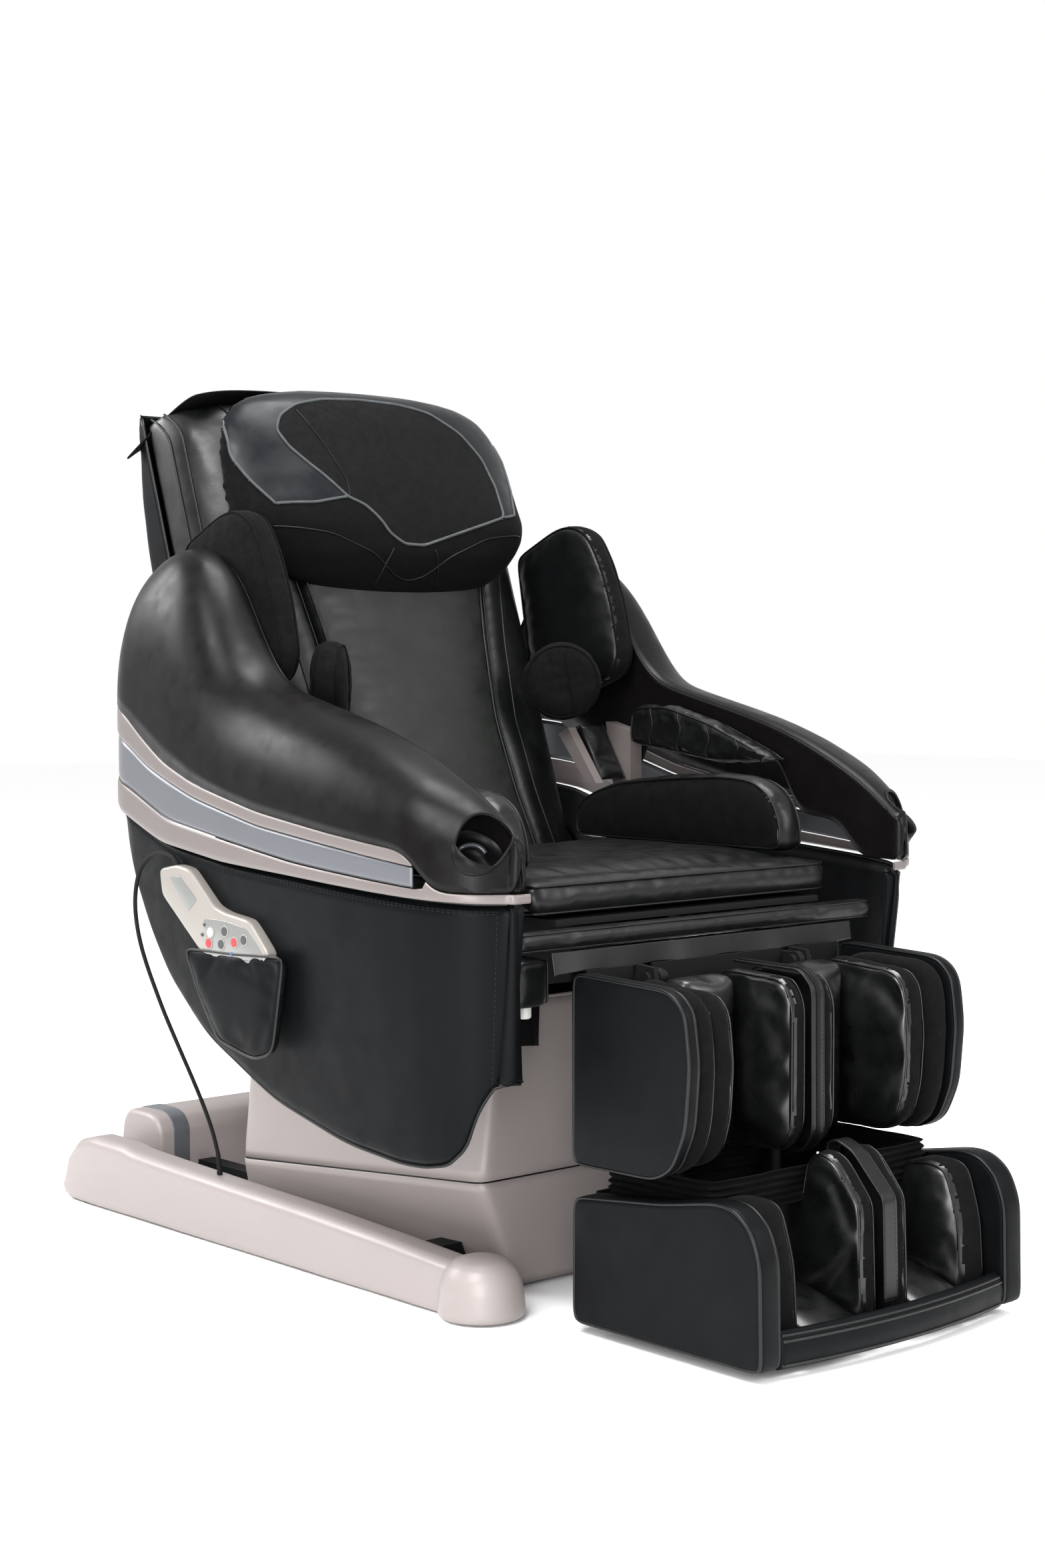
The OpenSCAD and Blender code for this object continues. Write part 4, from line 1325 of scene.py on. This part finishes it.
def make_rail(side, word):
    tops = [(-262, 70), (-214, 72), (-95, 79), (83, 87), (252, 92), (434, 98), (528, 102), (552, 107),
            (640, 108), (680, 98), (708, 74), (718, 44), (720, 20)]
    low = [(-262, 3), (700, 3), (714, 7), (720, 14)]
    rows = []
    for y in np.concatenate([np.linspace(-290, 640, 70), np.linspace(650, 720, 24)]):
        top = float(np.interp(y, *zip(*tops)))
        bottom = float(np.interp(y, *zip(*low)))
        end = 1 - 0.16 * max(0.0, (y - 640) / 80) ** 2
        c = 293.5
        w_low, w_top = 31.5 * end, 26 * end
        r = 9
        ring = [(c - w_low, bottom), (c + w_low, bottom), (c + w_low, bottom + 14),
                (c + w_top + 2, top - r), (c + w_top - r, top), (c - w_top + r, top),
                (c - w_top - 2, top - r), (c - w_low, bottom + 14)]
        ring = soften(ring, 3.5, 56)
        rows.append([(side * x * MM, y * MM, z * MM) for x, z in ring])
    rail = link(f"rail_{word}", surface("rail", rows, wrap=True, caps=True), "base",
                MAT["taupe"])
    profile = [(0.1, 3), (54, 3), (57.5, 6), (58, 12), (55, 42), (50, 58), (43, 69), (34, 76.5), (20, 81),
               (0.1, 82)]
    prof = soften(profile, 2.2, 60, closed=False)
    rings = [[(side * (288 + r * math.cos(a)) * MM, (-260 + r * math.sin(a)) * MM, z * MM)
              for a in wheel(96)] for r, z in prof]
    link(f"rail_foot_{word}", surface("rail_foot", rings, wrap=True, caps=True), "base",
         MAT["taupe"])
    return rail


COVER_SOFT = 12
COVER_LIP = (235, -198, 158.6, 249, 335, 114.6)
COVER_TOP = (203, -196, 398, 237, 330, 286)


def cover_rows(low, high, steps, grow=0.0):
    """Rows round a base cover between two slanted rings of (half width, y, z) at front and back."""
    (fw0, fy0, fz0, bw0, by0, bz0), (fw1, fy1, fz1, bw1, by1, bz1) = low, high
    rows = []
    for t in np.linspace(0, 1, steps):
        mix = lambda a, b: a + (b - a) * t
        fw, fy, fz = mix(fw0, fw1) + grow, mix(fy0, fy1) - grow, mix(fz0, fz1)
        bw, by, bz = mix(bw0, bw1) + grow, mix(by0, by1) + grow, mix(bz0, bz1)
        outline = soften([(-fw, fy), (fw, fy), (bw, by), (-bw, by)], COVER_SOFT, 220)
        rows.append([(x * MM, y * MM, (fz + (bz - fz) * (y - fy) / (by - fy)) * MM) for x, y in outline])
    return rows


def make_base():
    both_sides(make_rail)
    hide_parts("floor_rails")
    covers = (("base_lower", (173, -190, 7, 235, 330, 7), (236, -198, 156, 250, 335, 112), 12),
              ("base_upper", COVER_LIP, COVER_TOP, 16))
    for name, low, high, steps in covers:
        cover = link(name, surface(name, cover_rows(low, high, steps), wrap=True), "base",
                     MAT["taupe"])
        solidify(cover, 4 * MM)
        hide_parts(name.replace("base_", "base_cover_"))
    edge = cover_rows(COVER_TOP, COVER_TOP, 2)[0]
    inner = []
    for x, y, _ in edge:
        side = math.copysign(min(abs(x) - 2 * MM, 214 * MM), x)
        deep = min(max(y, -136 * MM), 190 * MM)
        inner.append((side, deep, 398 * MM - 112 / 526 * (deep + 196 * MM)))
    rows = [[tuple(a + (b - a) * t for a, b in zip(p, q)) for p, q in zip(edge, inner)]
            for t in np.linspace(0, 1, 6)]
    lid = link("base_lid", surface("base_lid", rows, wrap=True), "base", MAT["taupe"])
    solidify(lid, 4 * MM, 0.0)
    gap = (236, -198, 157.2, 250, 335, 113.2)
    seam = cover_rows(gap, gap, 2, grow=-2.0)[0]
    piping("base_gap", [(seam, True)], 1.5 * MM, "base", MAT["black_plastic"])
    hard("motor_screen", "xy", rect(-192, -128, 192, -122), 388, 508, 2, "base", "black_plastic",
         MAT["black_plastic"])
    house = [(577, 16), (577, 116), (591, 134), (612, 139), (666, 139), (682, 126), (689, 100), (689, 16)]
    hard("rear_housing", "yz", house, -233, 233, 10, "base", "taupe_plastic", MAT["taupe"], 7,
         ("rear_housing",))
    band_line = [(576, 16), (576, 117), (590, 135), (612, 140.4), (667, 140.4), (683, 127), (690.2, 100),
                 (690.2, 16)]
    for side, word in ((1, "left"), (-1, "right")):
        hard(f"housing_band_{word}", "yz", band_line, *side_of(176, 206, side), 1.6, "base", "blue_grey",
             MAT["inlay"], 7)


def make_port(side, word):
    """Rim, cup and grip inside the hand port in an arm's front."""
    frame_at = port_frame(side)
    put = lambda r, a, z: tuple(frame_at @ Vector((r * math.cos(a), r * math.sin(a), z)))
    turn = wheel(72)
    cup = [(33.2, 0.004), (33.0, -0.010), (32, -0.020), (27, -0.028), (14, -0.031), (1, -0.032)]
    rings = [[put(r * MM, a, z) for a in turn] for r, z in cup]
    liner = link(f"port_cup_{word}", surface("port_cup", rings, wrap=True), "base",
                 MAT["black_plastic"])
    solidify(liner, 2 * MM, 0.0)
    grip = [put(0.022, a, -0.012 + 0.004 * math.sin(2 * a)) for a in np.linspace(0.2, 2.9, 24)]
    piping(f"port_grip_{word}", [(grip, False)], 3.4 * MM, "base", MAT["dark_key"])


def make_pocket():
    outline = [(150, 462), (34, 464), (-80, 470), (-55, 340), (-12, 326), (70, 343), (108, 391)]
    rings, _ = block("yz", outline, -473, -458, 6, 12)
    edge = soften(outline, 10, 200)
    mesh = surface("pocket", rings, wrap=True, caps=True)
    ring = touch(mesh, [(-471.5 * MM, a * MM, b * MM) for a, b in edge])
    hem = [(-474.2 * MM, y * MM, (452 + (472 - 464) * (y - 150) / -230) * MM)
           for y in np.linspace(138, -70, 60)]
    hem = touch(mesh, hem)
    pad("remote_pocket", mesh, "base", "leather_panel", MAT["panel"], [(ring, True)],
        replaces=("remote_pocket",), voxel=5, cap=5, slack=0.03, pressure=2.0, fill=0.2,
        held=lambda co: co[:, 0] > -0.466)
    piping("pocket_piping", [(ring, True)], 2.0 * MM, "base", MAT["leather"])
    stitches("pocket_stitches", [hem], "base", MAT["thread"])


def make_remote():
    outline = [(212, 566), (170, 574), (139, 570), (82, 524), (55, 517), (0, 511), (-44, 470), (-30, 440),
               (10, 430), (110, 457), (206, 530)]
    hard("handset", "yz", outline, -470.6, -451.4, 5, "base", "remote_silver", MAT["silver"], 6,
         ("remote_body",))
    screen = [(184, 556), (160, 559), (118, 530), (140, 512)]
    hard("handset_screen", "yz", screen, -471.6, -466, 0.8, "base", "black_plastic", MAT["screen"], 3)
    lower = [(104, 505), (86, 506), (52, 506), (4, 500), (-34, 470), (-22, 447), (10, 438), (88, 460)]
    hard("handset_keypad", "yz", lower, -471.1, -469.6, 0.6, "base", "remote_silver", MAT["screen"], 5)
    looks = {"button_red": "red", "button_white": "white", "button_oval_upper": "dark_key",
             "button_oval_lower": "dark_key", "button_oval_red": "red", "button_ring": "dark_key"}
    for node, key in looks.items():
        obj = NODES[node]
        obj.data.materials.clear()
        obj.data.materials.append(MAT[key])
        bevel(obj, 1.2 * MM, 3, 40)
        low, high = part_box(node)
        y, z = (low[1] + high[1]) / 2, (low[2] + high[2]) / 2
        rings, _ = disc((-471.4 * MM, y, z), (-1, 0, 0), 8.2 * MM, 1.4 * MM, 0.6 * MM, 0, 40)
        link(f"{node}_collar", surface("collar", rings, wrap=True, caps=True), "base",
             MAT["silver"])
    for i, (y, z, key) in enumerate(((100, 497, "dark_key"), (105, 483, "dark_key"), (37, 463, "blue"))):
        rings, _ = disc((-471.8 * MM, y * MM, z * MM), (-1, 0, 0), 2.4 * MM, 1.6 * MM, 0.6 * MM, 0.2 * MM, 24)
        link(f"handset_lamp_{i}", surface("lamp", rings, wrap=True, caps=True), "base", MAT[key])


def dress_cad():
    """Materials and soft edges of the CAD nodes that stay."""
    wheels = "transport_wheel_left transport_wheel_right"
    arms = "knead_arm_left knead_arm_right"
    rollers = "roller_left_upper roller_left_lower roller_right_upper roller_right_lower"
    looks = {"rubber": f"floor_glides {wheels}", "champagne": "side_struts", "board": "control_board",
             "steel": "base_frame seat_frame back_frame carriage calf_frame foot_frame",
             "black_plastic": "power_inlet power_switch", "motor": f"air_pump lift_motors {arms}",
             "roller": rollers}
    for key, nodes in looks.items():
        for node in nodes.split():
            NODES[node].data.materials.clear()
            NODES[node].data.materials.append(MAT[key])
    edges = {0.8: "power_switch calf_frame", 1.0: "power_inlet seat_frame foot_frame", 1.2: "back_frame",
             1.5: f"air_pump carriage {arms}", 2.0: "lift_motors base_frame", 2.5: "side_struts",
             3.0: wheels, 3.5: rollers}
    for width, nodes in edges.items():
        for node in nodes.split():
            bevel(NODES[node], width * MM, 2, 40)


def replace_pairs():
    """Hides each CAD node that covers both sides; the pieces built for each side stand in for it."""
    stems = "back_bolster shoulder_pad waist_pad hip_pad forearm_pad side_strap knee_block calf_side"
    pairs = {stem: stem + "s" for stem in stems.split()}
    pairs.update(port_cup="port_liners", calf_outer="calf_pads", foot_outer="foot_pads")
    for stem, node in pairs.items():
        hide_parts(node)


# ---- stage

def make_stage():
    """A pale floor, a bright sky and soft lights."""
    mesh = mesh_from("floor", [(-14, -14, 0), (14, -14, 0), (14, 14, 0), (-14, 14, 0)], [(0, 1, 2, 3)])
    floor = bpy.data.objects.new("floor", mesh)
    bpy.context.scene.collection.objects.link(floor)
    floor.data.materials.append(base_material("floor_paper", (0.97, 0.97, 0.97), 0.8, spec=0.1)[0])
    world = bpy.data.worlds.new("sky")
    world.use_nodes = True
    tree = world.node_tree
    sky = tree.nodes["Background"]
    sky.inputs["Color"].default_value = (1, 1, 1, 1)
    seen = tree.nodes.new("ShaderNodeLightPath")
    tree.links.new(remap(tree, seen.outputs["Is Glossy Ray"], 1.0, 0.85, 0.0, 1.0), sky.inputs["Strength"])
    bpy.context.scene.world = world
    bpy.context.scene.view_settings.view_transform = "Standard"
    lights = (("key", (-2.6, -1.2, 3.4), 1.6, 190), ("fill", (1.6, -3.6, 2.4), 2.0, 90),
              ("rim", (-1.8, 2.8, 2.4), 1.4, 110), ("top", (0.3, -0.2, 3.8), 1.6, 130),
              ("low", (-2.3, -2.2, 0.9), 1.2, 70))
    for name, place, size, power in lights:
        data = bpy.data.lights.new(name, "AREA")
        data.shape = "SQUARE"
        data.size = size
        data.energy = power
        lamp = bpy.data.objects.new(name, data)
        bpy.context.scene.collection.objects.link(lamp)
        lamp.location = place
        lamp.rotation_euler = (Vector((0, 0, 0.6)) - Vector(place)).to_track_quat("-Z", "Y").to_euler()


make_camera()
make_cord()
make_sides()
make_base()
both_sides(make_port)
make_back_pad()
both_sides(make_bolster)
make_pillow()
make_rear_shell()
make_top_flap()
both_sides(make_shoulder_pad)
both_sides(make_waist_pad)
make_seat()
make_skirts()
both_sides(make_side_pads)
both_sides(make_calf_side)
make_calf_strap()
both_sides(make_foot_side)
make_foot_front()
make_pocket()
make_remote()
dress_cad()
blow_up()
make_bellows()
replace_pairs()
make_stage()
bpy.context.view_layer.update()
